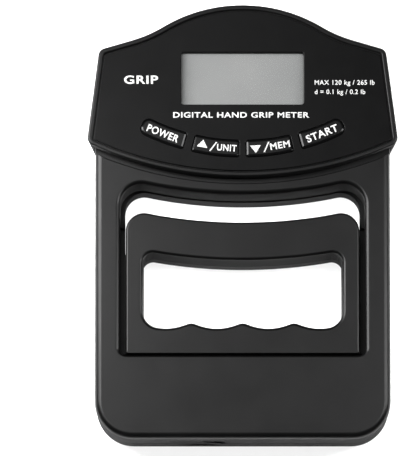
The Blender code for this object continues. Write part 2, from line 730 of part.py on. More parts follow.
def electronics():
    block("main_board", (-45.0, 119.0, BOARD_BACK), (45.0, 168.8, BOARD_FRONT), BOARD_GREEN)
    block("microcontroller", (-6.0, 146.0, 18.4), (6.0, 158.0, 19.7), CHIP_BLACK)
    block("weighing_amplifier", (-30.0, 148.0, 18.2), (-26.0, 158.0, 19.7), CHIP_BLACK)
    rods("buzzer", [((28.0, 150.0, 14.5), (28.0, 150.0, 19.7))], 6.0, CHIP_BLACK)
    block("battery_cell", (23.0, 4.6, 3.0), (45.8, 29.0, 11.0), FOIL, rounding=1.2)
    block("charging_board", (-20.0, 2.6, 9.1), (-5.5, 8.4, 10.3), BOARD_GREEN)
    socket_low = (SOCKET_X - SOCKET_HALF_WIDTH, 1.1, ROD_HEIGHT - SOCKET_HALF_HEIGHT)
    socket_high = (SOCKET_X + SOCKET_HALF_WIDTH, 8.0, ROD_HEIGHT + SOCKET_HALF_HEIGHT)
    socket = block("charging_socket", socket_low, socket_high, STEEL)
    inner_low = [value + 0.35 for value in socket_low]
    inner_high = [value - 0.35 for value in socket_high]
    inner_low[1] = 0.0
    cut(socket, block("socket_inside", inner_low, inner_high))
    tongue = block(
        "socket_tongue",
        (SOCKET_X - 3.2, 1.8, ROD_HEIGHT - 0.35),
        (SOCKET_X + 3.2, 7.9, ROD_HEIGHT + 0.35),
    )
    join(socket, tongue)


def cables():
    wire(
        "load_cell_cable",
        [
            (-34.0, 23.4, 12.5),
            (-36.0, 25.0, 14.8),
            (-42.0, 23.8, 19.0),
            (-49.0, 21.4, 21.3),
            (-56.0, 25.0, 20.4),
            (-58.6, 36.0, 19.0),
            (-58.6, 60.0, 19.0),
            (-58.6, 90.0, 19.0),
            (-58.6, 112.0, 19.0),
            (-58.2, 124.0, 18.2),
            (-54.0, 134.0, 17.0),
            (-46.0, 140.0, 16.6),
            (-38.0, 141.0, 17.6),
            (-34.0, 141.0, 18.6),
        ],
        2.2,
        RUBBER,
    )
    wire(
        "battery_lead",
        [
            (36.0, 30.6, 8.0),
            (37.5, 31.0, 12.0),
            (42.0, 29.6, 16.0),
            (47.0, 22.8, 18.2),
            (54.5, 22.6, 19.0),
            (58.4, 32.0, 19.0),
            (58.6, 60.0, 19.0),
            (58.6, 90.0, 19.0),
            (58.6, 112.0, 19.0),
            (58.0, 124.0, 18.2),
            (53.0, 133.0, 17.0),
            (46.0, 138.0, 17.0),
            (40.0, 139.0, 18.7),
        ],
        1.8,
        RUBBER,
    )
    wire(
        "charging_lead",
        [
            (-4.9, 5.6, 9.7),
            (-2.0, 4.8, 8.6),
            (4.0, 4.0, 6.4),
            (13.0, 4.6, 6.0),
            (22.3, 8.0, 7.0),
        ],
        1.4,
        RUBBER,
    )


# Grip, span adjustment and load cell ------------------------------------------------------------------


def grip():
    window = flared("window", window_outline(), GRIP_BACK - 1.0, GRIP_FRONT, WINDOW_EDGE)
    lower_room = block("lower_room", (-40.5, 38.4, 5.0), (40.5, 44.4, 23.0))
    upper_room = block("upper_room", (-38.0, 82.5, 5.0), (38.0, 91.0, 23.0))
    rod_hole = rods("grip_rod_hole", [((0.0, 35.0, ROD_HEIGHT), (0.0, 39.0, ROD_HEIGHT))], ROD_RADIUS + 0.5)
    shanks = rods("grip_shank_holes", screw_ends(GRIP_SCREWS, 5.0, GRIP_SCREW_END + 0.5), GRIP_SHANK + FIT)
    heads = rods("grip_head_holes", screw_ends(GRIP_SCREWS, GRIP_BACK - 1.0, GRIP_HEAD_SEAT + FIT), GRIP_HEAD + FIT)

    front = extruded(
        "grip_front_half", grip_outline(), GRIP_PARTING + FIT / 2, GRIP_FRONT, SATIN_BLACK, top_round=GRIP_EDGE
    )
    cut(front, window, lower_room, upper_room, rod_hole, shanks)

    rear = extruded(
        "grip_rear_half", grip_outline(), GRIP_BACK, GRIP_PARTING - FIT / 2, SATIN_BLACK, bottom_round=GRIP_EDGE
    )
    for side in (-1, 1):
        inner, outer = side * (GRIP_HALF_WIDTH - 1.0), side * TONGUE_OUTER
        tongue = block(
            "tongue_left" if side < 0 else "tongue_right",
            (min(inner, outer), TONGUE_BOTTOM, TONGUE_BACK),
            (max(inner, outer), TONGUE_TOP, TONGUE_FRONT),
        )
        join(rear, tongue)
    cut(rear, window, lower_room, upper_room, rod_hole, shanks, heads)

    profile = screw_profile(GRIP_SHANK, GRIP_HEAD, GRIP_HEAD_SEAT, GRIP_SCREW_END)
    for i, (x, y) in enumerate(GRIP_SCREWS):
        turned(f"grip_screw_{i + 1}", profile, (x, y, 0.0), STEEL, steps=12)


def upright_piece(name, outline, low, high, colour, top_round=0.0):
    """An outline in the XZ plane, thickened along Y from low to high, on the rod's axis."""
    obj = extruded(name, outline, -high, -low, colour, top_round)
    turn = Matrix.Translation((0.0, 0.0, ROD_HEIGHT * MM)) @ Matrix.Rotation(math.radians(90), 4, "X")
    obj.data.transform(turn)
    return obj


def span_adjustment():
    """The wheel is the nut of the grip's threaded rod, so turning it slides the grip."""
    wheel = upright_piece("adjusting_wheel", wheel_outline(), WHEEL_BOTTOM, WHEEL_TOP, NYLON)
    bore = [((0.0, WHEEL_BOTTOM - 1.0, ROD_HEIGHT), (0.0, WHEEL_TOP + 1.0, ROD_HEIGHT))]
    cut(wheel, rods("wheel_bore", bore, ROD_RADIUS + 0.2))

    washer_low, washer_high = CELL_TOP + FIT, WHEEL_BOTTOM - FIT
    washer_ends = [((0.0, washer_low, ROD_HEIGHT), (0.0, washer_high, ROD_HEIGHT))]
    washer = rods("thrust_washer", washer_ends, WASHER_RADIUS, STEEL, sides=24)
    washer_bore = [((0.0, washer_low - 1.0, ROD_HEIGHT), (0.0, washer_high + 1.0, ROD_HEIGHT))]
    cut(washer, rods("washer_bore", washer_bore, ROD_RADIUS + 0.4))

    rod = rods("threaded_rod", [((0.0, ROD_BOTTOM, ROD_HEIGHT), (0.0, ROD_TOP, ROD_HEIGHT))], ROD_RADIUS, STEEL)
    pin_room = rods("pin_hole", [((0.0, PIN_Y, 5.0), (0.0, PIN_Y, 20.0))], PIN_RADIUS + FIT, sides=14)
    cut(rod, pin_room)
    crossbar = block("grip_crossbar", (-38.0, 38.7, 6.3), (38.0, 44.1, 18.3), STEEL, rounding=0.4)
    rod_room = [((0.0, 38.0, ROD_HEIGHT), (0.0, 45.0, ROD_HEIGHT))]
    cut(crossbar, rods("crossbar_hole", rod_room, ROD_RADIUS + FIT), pin_room)
    rods("crossbar_pin", [((0.0, PIN_Y, 6.6), (0.0, PIN_Y, 18.0))], PIN_RADIUS, STEEL, sides=14)


def load_cell():
    """A bending beam: its left end is fixed, and the wheel presses on its right end round the rod."""
    middle = (CELL_BOTTOM + CELL_TOP) / 2
    cell = block(
        "load_cell", (CELL_LEFT, CELL_BOTTOM, CELL_BACK), (CELL_RIGHT, CELL_TOP, CELL_FRONT), ALUMINIUM, 0.4
    )
    rod_room = [((0.0, CELL_BOTTOM - 1.0, ROD_HEIGHT), (0.0, CELL_TOP + 1.0, ROD_HEIGHT))]
    cut(cell, rods("cell_rod_hole", rod_room, ROD_RADIUS + 0.4))
    waist = [((x, middle, CELL_BACK - 1.0), (x, middle, CELL_FRONT + 1.0)) for x in (-25.0, -14.0)]
    cut(cell, rods("cell_holes", waist, 4.7, sides=24))
    slot = block("cell_slot", (-25.0, middle - 1.5, CELL_BACK - 1.0), (-14.0, middle + 1.5, CELL_FRONT + 1.0))
    cut(cell, slot)

    anchor_top = CELL_BOTTOM - FIT
    anchor = block("load_cell_anchor", (-47.0, 2.6, 5.5), (-32.0, anchor_top, 19.1), STEEL, rounding=0.4)
    z = ROD_HEIGHT
    holes = rods("anchor_holes", [((x, 2.0, z), (x, 19.0, z)) for x in ANCHOR_SCREWS_X], ANCHOR_SHANK + FIT)
    sinks = rods("anchor_sinks", [((x, 2.0, z), (x, 5.2, z)) for x in ANCHOR_SCREWS_X], ANCHOR_HEAD + FIT)
    cut(anchor, holes, sinks)
    cut(cell, holes)
    for i, x in enumerate(ANCHOR_SCREWS_X):
        screw = rods(f"anchor_screw_{i + 1}", [((x, 3.2, z), (x, 18.4, z))], ANCHOR_SHANK, STEEL, sides=14)
        join(screw, rods(f"anchor_screw_{i + 1}_head", [((x, 2.8, z), (x, 4.9, z))], ANCHOR_HEAD, sides=18))


def main():
    frame_shells()
    case_screws()
    head_cover()
    face_panel()
    display()
    buttons()
    electronics()
    cables()
    grip()
    span_adjustment()
    load_cell()


main()
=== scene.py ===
"""A hand dynamometer lying on its back on a pale table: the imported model, finished for its looks.

Shapes are written in millimetres. X is measured from the centre line, Z from the back, and Y from a line just
inside the palm edge, MIDDLE_Y before the world's origin. +Y points to the display end, +Z out of the face.
"""

import json
import math

import bmesh
import bpy
from mathutils import Matrix, Vector


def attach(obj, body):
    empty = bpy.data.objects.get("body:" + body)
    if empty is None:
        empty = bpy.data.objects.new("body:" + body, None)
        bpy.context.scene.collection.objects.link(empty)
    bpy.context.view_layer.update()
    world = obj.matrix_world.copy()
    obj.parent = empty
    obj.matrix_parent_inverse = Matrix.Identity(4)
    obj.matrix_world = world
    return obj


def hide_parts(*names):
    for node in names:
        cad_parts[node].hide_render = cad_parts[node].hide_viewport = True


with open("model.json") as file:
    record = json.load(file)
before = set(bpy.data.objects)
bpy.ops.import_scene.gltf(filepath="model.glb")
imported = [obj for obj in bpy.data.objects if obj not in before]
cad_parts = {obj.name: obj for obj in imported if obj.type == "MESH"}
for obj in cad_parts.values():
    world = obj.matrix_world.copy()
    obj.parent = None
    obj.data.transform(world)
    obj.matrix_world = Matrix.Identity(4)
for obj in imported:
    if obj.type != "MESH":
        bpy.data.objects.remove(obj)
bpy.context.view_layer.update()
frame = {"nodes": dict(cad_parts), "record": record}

MM = 0.001
PALM_EDGE = -1.2
HEAD_TOP = 187.1
MIDDLE_Y = (PALM_EDGE + HEAD_TOP) / 2
WALL = 2.2
FIT = 0.3
# How far a cutter reaches past the surface that it opens
PAST = 1.0
# Edges sharper than this many degrees stay crisp in the shading
SMOOTH_BELOW = 30

# Frame, the lower casing
BODY_HALF_WIDTH = 62.95
BODY_CORNER = 16.3
BODY_FRONT = 27.0
PARTING = 11.5
PARTING_EDGE = 0.25
BODY_TAPER = 0.9876
BACK_EDGE = 2.0
FRONT_EDGE = 3.0
OPENING_HALF_WIDTH = 52.1
OPENING_BOTTOM = 34.9
OPENING_TOP = 105.1
OPENING_TOP_RADIUS = 198.0
OPENING_LOWER_CORNER = 3.0
OPENING_UPPER_CORNER = 9.3
OPENING_EDGE = 2.0
OPENING_LOWER_EDGE = 1.0
# How far from the centre line the upper arcs of the opening and of the grip reach, before their corners
TOP_ARC_END = 38.0
# The rear casing's narrower opening, whose rim shows as a ledge inside the front's
LEDGE_HALF_WIDTH = 50.5
LEDGE_UPPER_CORNER = 8.6

# Display head
HEAD_FRONT = 31.0
HEAD_BOTTOM = 111.8
HEAD_BOTTOM_RADIUS = 158.0
HEAD_BOTTOM_ARC_SHARE = 0.85
HEAD_LOWER_CORNER = (66.6, 126.6, 4.0)
HEAD_SHOULDER = (61.35, 167.45, 3.5)
SHOULDER_SLOPE = 16.6
DOME_SLOPE = 31.5
DOME_RADIUS = 65.0
NECK_RADIUS = 55.0
HEAD_TAPER = 0.955
HEAD_TAPER_CENTRE = 150.0
HEAD_WALL_BACK = 26.7
RIM_OUTER = 1.0
RIM_FLAT = 0.7
RIM_INNER = 0.5
TUCK = 4.0
BACK_TOP = 127.5

# Face panel, display and buttons
PANEL_FLOOR = 28.9
PANEL_BACK = 29.2
PANEL_FRONT = 30.2
PANEL_INSET = 2.85
DISPLAY_HALF_WIDTH = 26.2
DISPLAY_BOTTOM = 143.5
DISPLAY_TOP = 166.4
DISPLAY_CORNER = 1.0
LENS_BACK = 27.2
LENS_FRONT = 28.6
GLASS_BACK = 23.6
GLASS_FRONT = 26.4
BUTTON_ARC_CENTRE = 215.3
BUTTON_OUTER_RADIUS = 94.6
BUTTON_INNER_RADIUS = 87.7
BUTTON_SPANS = ((-27.95, -15.75), (-13.25, -1.05), (1.05, 13.25), (15.75, 27.95))
BUTTON_NAMES = ("button_power", "button_up", "button_down", "button_start")
BUTTON_END_ROUNDING = 3.0
BUTTON_CORNER = 0.8
BUTTON_TOP = 30.9
FLANGE_BACK = 25.6
FLANGE_FRONT = 26.4
FLANGE_LIP = 0.8

# Grip
GRIP_HALF_WIDTH = 49.8
GRIP_BOTTOM = 36.2
GRIP_TOP = 93.3
GRIP_TOP_RADIUS = 212.0
GRIP_BACK = 3.0
GRIP_FRONT = 25.0
GRIP_PARTING = 14.0
GRIP_EDGE = 1.0
GRIP_LOWER_EDGE = 0.3
GRIP_LOWER_CORNER = 1.2
GRIP_UPPER_CORNER = 7.9
WINDOW_EDGE = 1.5
WINDOW_HALF_WIDTH = 42.6
WINDOW_TOP = 76.65
WINDOW_TOP_RADIUS = 219.0
WINDOW_ARC_END = 36.0
WINDOW_LOWER_CORNER = 7.5
WINDOW_UPPER_CORNER = 4.5
FINGER_PITCH = 21.9
GROOVE_DEPTH = 2.9
GROOVE_BOTTOM = 47.2
GROOVES_END = 35.5
GROOVE_STEPS = 36
GROOVE_PEAK_ROUNDING = 0.1
GROOVE_END_RISE = 0.6
TONGUE_OUTER = 58.0
TONGUE_BOTTOM = 38.0
TONGUE_TOP = 81.5
TONGUE_BACK = 8.5
TONGUE_FRONT = 13.7
GRIP_TRAVEL = 11.0

# Span adjustment and the thumb's well in the back
ROD_HEIGHT = 12.3
ROD_RADIUS = 4.0
ROD_BOTTOM = 7.5
ROD_TOP = 43.8
THREAD_PITCH = 2.0
THREAD_DEPTH = 0.6
WHEEL_RADIUS = 11.5
WHEEL_BOTTOM = 23.4
WHEEL_TOP = 30.4
WHEEL_FLUTES = 24
WHEEL_BORE = 4.2
WELL_FLOOR = 3.0
WELL_EDGE = 0.8
# The well's lowest and highest X, lowest and highest Y, and corner radius
WELL = (-19.5, 19.5, 20.5, 31.8, 4.0)
WELL_PAD = 5.2
WELL_PAD_HALF_WIDTH = 22.0
WELL_PAD_BOTTOM = 18.0
WHEEL_SLOT_HALF_WIDTH = 9.6
WHEEL_GAP = 0.5

# Screws, as (x, y) of their axes, and as (shank radius, head radius, height of the seat, height of the tip)
LOWER_SCREWS = ((-50.0, 28.0), (50.0, 28.0))
MIDDLE_SCREWS = ((-50.0, 121.0), (50.0, 121.0))
TOP_SCREWS = ((-50.0, 160.0), (50.0, 160.0))
CASE_SCREWS = LOWER_SCREWS + MIDDLE_SCREWS + TOP_SCREWS
GRIP_SCREWS = ((-45.3, 41.4), (45.3, 41.4), (-43.0, 87.5), (43.0, 87.5))
CASE_SCREW = (1.4, 2.6, 3.0, 22.0)
GRIP_SCREW = (1.2, 2.3, 6.2, 20.5)
BOSS_RADIUS = 3.6
CASE_SHANK_HOLE = 1.7
CASE_SHANK_HOLE_END = 22.5
CASE_HEAD_HOLE = 2.9
CASE_HEAD_HOLE_END = 3.2

# Charging socket in the palm edge
SOCKET_X = -12.0
SOCKET_HALF_WIDTH = 4.5
SOCKET_HALF_HEIGHT = 1.6
SCOOP_CENTRE = (-18.0, -89.6)
SCOOP_RADIUS = 90.0
SCOOP_LOW = 6.0
SCOOP_HIGH = 18.6


# ---- Outlines: lists of (x, y) points, anticlockwise ----


def circle_point(centre_x, centre_y, radius, degrees):
    """A point on a circle, its angle counted from straight down, positive towards +X."""
    turn = math.radians(degrees)
    return (centre_x + radius * math.sin(turn), centre_y - radius * math.cos(turn))


def sag_arc(lowest, radius, from_x, to_x, count):
    """Points along an arc that is lowest on the centre line, as (x, y, 0)."""
    first = math.degrees(math.asin(from_x / radius))
    last = math.degrees(math.asin(to_x / radius))
    angles = [first + (last - first) * i / (count - 1) for i in range(count)]
    return [(*circle_point(0.0, lowest + radius, radius, angle), 0.0) for angle in angles]


def rounded(corners, step=7.5):
    """The outline through corners (x, y, radius), each with a radius turned into an arc."""
    outline = []
    for i, (x, y, radius) in enumerate(corners):
        here = Vector((x, y))
        if radius == 0.0:
            outline.append((x, y))
            continue
        before = (Vector(corners[i - 1][:2]) - here).normalized()
        after = (Vector(corners[(i + 1) % len(corners)][:2]) - here).normalized()
        half = before.angle(after) / 2
        centre = here + (before + after).normalized() * radius / math.sin(half)
        start = here + before * radius / math.tan(half) - centre
        turn = start.angle_signed(here + after * radius / math.tan(half) - centre)
        steps = max(2, math.ceil(math.degrees(abs(turn)) / step))
        for i_step in range(steps + 1):
            arm = Matrix.Rotation(-turn * i_step / steps, 2) @ start
            outline.append(tuple(centre + arm))
    return outline


def mirrored(right_half):
    """The whole outline from its right half, which runs from the bottom to the top of the centre line."""
    left_half = [(-x, y, radius) for x, y, radius in reversed(right_half) if x > 0.01]
    return rounded(right_half + left_half)


def value_at(value, point):
    """A number that is the same everywhere, or a function's value at a point."""
    return value(point) if callable(value) else value


def inset(outline, distance):
    """The outline moved inwards by a distance, or by a function that gives it at each point."""
    moved = []
    for i, point in enumerate(outline):
        here = Vector(point)
        before = (here - Vector(outline[i - 1])).normalized()
        after = (Vector(outline[(i + 1) % len(outline)]) - here).normalized()
        inward = (before + after).normalized().orthogonal()
        slant = max(0.2, inward.dot(before.orthogonal()))
        moved.append(tuple(here + inward * value_at(distance, point) / slant))
    return moved


def head_outline():
    half = sag_arc(HEAD_BOTTOM, HEAD_BOTTOM_RADIUS, 0.0, HEAD_BOTTOM_ARC_SHARE * HEAD_LOWER_CORNER[0], 18)
    half += [HEAD_LOWER_CORNER, HEAD_SHOULDER]
    dome_centre = HEAD_TOP - DOME_RADIUS
    dome_x, dome_y = circle_point(0.0, dome_centre, DOME_RADIUS, 180.0 - DOME_SLOPE)
    neck_x, neck_y = circle_point(dome_x, dome_y, NECK_RADIUS, 180.0 - DOME_SLOPE)
    for i in range(8):
        slope = SHOULDER_SLOPE + (DOME_SLOPE - SHOULDER_SLOPE) * i / 8
        half.append((*circle_point(neck_x, neck_y, NECK_RADIUS, -slope), 0.0))
    for i in range(16):
        slope = DOME_SLOPE * (1 - i / 15)
        half.append((*circle_point(0.0, dome_centre, DOME_RADIUS, 180.0 - slope), 0.0))
    return mirrored(half)


def body_outline():
    """The frame's front. Its upper edge tucks under the display head."""
    top_edge = sag_arc(HEAD_BOTTOM + TUCK, HEAD_BOTTOM_RADIUS - TUCK, BODY_HALF_WIDTH, 0.0, 16)
    return mirrored([(0.0, PALM_EDGE, 0.0), (BODY_HALF_WIDTH, PALM_EDGE, BODY_CORNER)] + top_edge)


def body_back_outline():
    """The same frame at the back, where it runs up into the head's housing."""
    bottom = [(0.0, PALM_EDGE, 0.0), (BODY_HALF_WIDTH, PALM_EDGE, BODY_CORNER)]
    return mirrored([*bottom, (BODY_HALF_WIDTH, BACK_TOP, 0.0), (0.0, BACK_TOP, 0.0)])


def opening_outline(half_width=OPENING_HALF_WIDTH, upper_corner=OPENING_UPPER_CORNER):
    radius = OPENING_TOP_RADIUS
    corner_y = OPENING_TOP + radius - math.sqrt(radius**2 - half_width**2)
    half = [(0.0, OPENING_BOTTOM, 0.0), (half_width, OPENING_BOTTOM, OPENING_LOWER_CORNER)]
    half.append((half_width, corner_y, upper_corner))
    return mirrored(half + sag_arc(OPENING_TOP, radius, TOP_ARC_END, 0.0, 14))


def grip_outline():
    corner_y = GRIP_TOP + GRIP_TOP_RADIUS - math.sqrt(GRIP_TOP_RADIUS**2 - GRIP_HALF_WIDTH**2)
    half = [(0.0, GRIP_BOTTOM, 0.0), (GRIP_HALF_WIDTH, GRIP_BOTTOM, GRIP_LOWER_CORNER)]
    half.append((GRIP_HALF_WIDTH, corner_y, GRIP_UPPER_CORNER))
    return mirrored(half + sag_arc(GRIP_TOP, GRIP_TOP_RADIUS, TOP_ARC_END, 0.0, 14))


def window_outline():
    """The finger window, with four finger grooves along its lower edge."""
    half = []
    for i in range(GROOVE_STEPS + 1):
        x = GROOVES_END * i / GROOVE_STEPS
        from_peak = min(x, abs(x - FINGER_PITCH)) / (0.5 * FINGER_PITCH)
        rise = (1.0 - math.hypot(from_peak, GROOVE_PEAK_ROUNDING)) ** 2
        half.append((x, GROOVE_BOTTOM + GROOVE_DEPTH * rise, 0.0))
    corner_y = WINDOW_TOP + WINDOW_TOP_RADIUS - math.sqrt(WINDOW_TOP_RADIUS**2 - WINDOW_HALF_WIDTH**2)
    half.append((WINDOW_HALF_WIDTH, GROOVE_BOTTOM + GROOVE_END_RISE, WINDOW_LOWER_CORNER))
    half.append((WINDOW_HALF_WIDTH, corner_y, WINDOW_UPPER_CORNER))
    return mirrored(half + sag_arc(WINDOW_TOP, WINDOW_TOP_RADIUS, WINDOW_ARC_END, 0.0, 14))


def rectangle(low_x, high_x, low_y, high_y, radius):
    corners = ((low_x, low_y), (high_x, low_y), (high_x, high_y), (low_x, high_y))
    return rounded([(x, y, radius) for x, y in corners], 15.0)


def display_outline(grow=0.0):
    half = DISPLAY_HALF_WIDTH + grow
    return rectangle(-half, half, DISPLAY_BOTTOM - grow, DISPLAY_TOP + grow, DISPLAY_CORNER)


def button_outline(span, grow=0.0):
    """One button: a piece of a ring, fully rounded at the outer end of the row."""
    first, last = span
    outer, inner = BUTTON_OUTER_RADIUS + grow, BUTTON_INNER_RADIUS - grow
    spread = math.degrees(grow / inner)
    first_radius = (BUTTON_END_ROUNDING if span is BUTTON_SPANS[0] else BUTTON_CORNER) + grow
    last_radius = (BUTTON_END_ROUNDING if span is BUTTON_SPANS[-1] else BUTTON_CORNER) + grow
    between = [(first + (last - first) * share, 0.0) for share in (0.3, 0.4, 0.5, 0.6, 0.7)]
    turns = [(first - spread, first_radius), *between, (last + spread, last_radius)]
    corners = []
    for radius, way in ((outer, turns), (inner, turns[::-1])):
        corners += [(*circle_point(0.0, BUTTON_ARC_CENTRE, radius, turn), corner) for turn, corner in way]
    return rounded(corners, 15.0)


def socket_outline(grow, corner):
    width, height = SOCKET_HALF_WIDTH + grow, SOCKET_HALF_HEIGHT + grow
    return rectangle(SOCKET_X - width, SOCKET_X + width, -height, height, corner)


def circle(x, y, radius, sides):
    return [circle_point(x, y, radius, 360.0 * i / sides) for i in range(sides)]


def above(level, span, low, high):
    """A distance that grows from low to high as a point's y rises through a span above a level."""

    def distance(point):
        share = min(1.0, max(0.0, (point[1] - level) / span))
        return low + (high - low) * share

    return distance


opening_edge = above(OPENING_BOTTOM, OPENING_LOWER_CORNER, OPENING_LOWER_EDGE, OPENING_EDGE)
grip_edge = above(GRIP_BOTTOM, GRIP_LOWER_CORNER, GRIP_LOWER_EDGE, GRIP_EDGE)


# ---- Solids ----


def place(x, y, z):
    return Vector((x * MM, (y - MIDDLE_Y) * MM, z * MM))


def linked(name, data):
    """A new object in the scene."""
    made = bpy.data.objects.new(name, data)
    bpy.context.scene.collection.objects.link(made)
    return made


def aim(obj, direction):
    """Turns a camera or a light to look in a direction."""
    obj.rotation_mode = "QUATERNION"
    obj.rotation_quaternion = direction.to_track_quat("-Z", "Y")


def add_object(name, shape):
    """An object from a bmesh in world coordinates, smooth except along its corners."""
    bmesh.ops.recalc_face_normals(shape, faces=shape.faces)
    mesh = bpy.data.meshes.new(name)
    shape.to_mesh(mesh)
    shape.free()
    mesh.shade_smooth()
    mesh.set_sharp_from_angle(angle=math.radians(SMOOTH_BELOW))
    return linked(name, mesh)


def skin(shape, loops):
    """Closes a solid: faces between neighbouring loops of points, and one over each end."""
    for lower, upper in zip(loops, loops[1:]):
        for i in range(len(lower)):
            shape.faces.new((lower[i - 1], lower[i], upper[i], upper[i - 1]))
    shape.faces.new(loops[0])
    shape.faces.new(loops[-1])


def stack(name, outline, levels, upright=False):
    """A closed solid from one outline at several levels, each (how far it grows, its height).

    With upright, the outline lies in the XZ plane about the rod's axis and the heights run along Y.
    """
    shape = bmesh.new()
    loops = []
    for grow, height in levels:
        moved = inset(outline, lambda point: -value_at(grow, point))
        points = [(*xy, value_at(height, point)) for xy, point in zip(moved, outline)]
        if upright:
            points = [(x, z, ROD_HEIGHT + y) for x, y, z in points]
        loops.append([shape.verts.new(place(*point)) for point in points])
    skin(shape, loops)
    return add_object(name, shape)


def rim(height, radius, outward, upward, steps=6):
    """Levels of a rounded rim at a height.

    outward is 1 for a hole and -1 for a solid; upward is 1 for a rim at the front and -1 for one at the back.
    """
    levels = []
    for i in range(steps + 1):
        turn = math.radians(90.0 * i / steps)
        out = outward * (1.0 - math.cos(turn))
        down = upward * (1.0 - math.sin(turn))
        grow = lambda point, out=out: out * value_at(radius, point)
        at = lambda point, down=down: height - down * value_at(radius, point)
        levels.append((grow, at))
    return levels if upward > 0 else levels[::-1]


def offset(levels, distance):
    """A rim's levels, all grown by a distance."""
    return [(lambda point, grow=grow: grow(point) + distance, at) for grow, at in levels]


def block(name, low, high, rounding=0.0, segments=3):
    """A box from its lowest to its highest corner, with rounded edges."""
    shape = bmesh.new()
    bmesh.ops.create_cube(shape, size=1.0)
    for vertex in shape.verts:
        vertex.co = place(*[a + (b - a) * (c + 0.5) for a, b, c in zip(low, high, vertex.co)])
    if rounding:
        bmesh.ops.bevel(
            shape, geom=shape.edges[:], offset=rounding * MM, segments=segments, profile=0.5, affect="EDGES"
        )
    return add_object(name, shape)


def rods(name, ends, radius, sides=32):
    """Round bars in one mesh, each from one end point to another."""
    shape = bmesh.new()
    for start, end in ends:
        start, end = place(*start), place(*end)
        axis = end - start
        turn = axis.to_track_quat("Z", "Y").to_matrix().to_4x4()
        bmesh.ops.create_cone(
            shape,
            cap_ends=True,
            segments=sides,
            radius1=radius * MM,
            radius2=radius * MM,
            depth=axis.length,
            matrix=Matrix.Translation((start + end) / 2) @ turn,
        )
    return add_object(name, shape)


def rod_bore(name, first, last, radius, sides=48):
    """A round bar along the threaded rod's axis, from one Y to another."""
    return rods(name, [((0.0, first, ROD_HEIGHT), (0.0, last, ROD_HEIGHT))], radius, sides)


def tapered(obj, back_scale, front, centre_y, straight_below=False):
    """The same object, narrowing evenly from its full size at the front height to back_scale at the back.

    With straight_below, it keeps its full height below the centre.
    """
    centre = (centre_y - MIDDLE_Y) * MM
    for vertex in obj.data.vertices:
        scale = back_scale + (1.0 - back_scale) * vertex.co.z / (front * MM)
        vertex.co.x *= scale
        if vertex.co.y > centre or not straight_below:
            vertex.co.y = centre + (vertex.co.y - centre) * scale
    return obj


def tapered_head(obj):
    """The head narrows to the back at its sides and its top, but its lower edge goes straight back."""
    return tapered(obj, HEAD_TAPER, HEAD_FRONT, HEAD_TAPER_CENTRE, straight_below=True)


def tapered_body(obj):
    return tapered(obj, BODY_TAPER, BODY_FRONT, BACK_TOP)


def evaluated_mesh(obj):
    """The object's mesh with its modifiers applied."""
    graph = bpy.context.evaluated_depsgraph_get()
    return bpy.data.meshes.new_from_object(obj.evaluated_get(graph))


def combine(target, operation, tools):
    """Applies a Boolean with each tool in turn, and removes the tools."""
    for tool in tools:
        step = target.modifiers.new(tool.name, "BOOLEAN")
        step.operation = operation
        step.solver = "EXACT"
        step.object = tool
    mesh = evaluated_mesh(target)
    mesh.name = target.name
    target.modifiers.clear()
    old = target.data
    target.data = mesh
    bpy.data.meshes.remove(old)
    for tool in tools:
        bpy.data.objects.remove(tool)


def cut(target, *tools):
    combine(target, "DIFFERENCE", tools)


def join(target, *tools):
    combine(target, "UNION", tools)


def weighted(obj):
    """Cleans a finished mesh up, and shades its flats flat beside its roundings."""
    shape = bmesh.new()
    shape.from_mesh(obj.data)
    bmesh.ops.remove_doubles(shape, verts=shape.verts, dist=0.002 * MM)
    bmesh.ops.dissolve_degenerate(shape, dist=0.001 * MM, edges=shape.edges)
    shape.to_mesh(obj.data)
    shape.free()
    obj.data.shade_smooth()
    obj.data.set_sharp_from_angle(angle=math.radians(SMOOTH_BELOW))
    step = obj.modifiers.new("weighted_normals", "WEIGHTED_NORMAL")
    step.keep_sharp = True
    step.weight = 100
    return obj


def dress(obj, finish):
    obj.data.materials.clear()
    obj.data.materials.append(finish)


def piece(obj, finish, body, nodes=()):
    """Gives a piece its material, the body that it rides on, and the CAD nodes that it stands for."""
    dress(obj, finish)
    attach(obj, body)
    if nodes:
        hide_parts(*nodes)


# ---- Frame ----

# The rear opening's inward lip, with a bevel at its front and a rounded edge at the back
LIP = 0.4
LIP_BEVEL = 0.7
INNER_EDGE = 1.2
# The dark groove in the frame's front along the head's lower edge
HEAD_GAP = 2.0
HEAD_GAP_DEPTH = 1.8
HEAD_GAP_EDGE = 0.5
# Room round the grip's tongues: towards the centre line, below, above, and on the other sides
CHANNEL_INNER = 0.3
CHANNEL_BELOW = 1.5
CHANNEL_ABOVE = 1.0
CHANNEL_GAP = 0.4
# The rod's hole: first Y, last Y and radius
ROD_HOLE = (31.0, 37.0, ROD_RADIUS + 0.6)
# Ways from the frame's hollow into the head, as lowest and highest (x, y)
CABLE_WAY = ((-60.5, 122.0), (60.5, 135.0))
BOARD_WAY = ((-46.0, 111.5), (46.0, 123.0))


def screw_ends(places, low, high):
    return [((x, y, low), (x, y, high)) for x, y in places]


def sides(name, low, high):
    """A box on the right, and its mirror image on the left."""
    right = block(name + "_right", low, high)
    left = block(name + "_left", (-high[0], low[1], low[2]), (-low[0], high[1], high[2]))
    return left, right


def tongue_channels():
    low = (GRIP_HALF_WIDTH - CHANNEL_INNER, TONGUE_BOTTOM - CHANNEL_BELOW, TONGUE_BACK - CHANNEL_GAP)
    top = TONGUE_TOP + GRIP_TRAVEL + CHANNEL_ABOVE
    high = (TONGUE_OUTER + CHANNEL_GAP, top, TONGUE_FRONT + CHANNEL_GAP)
    return sides("channel", low, high)


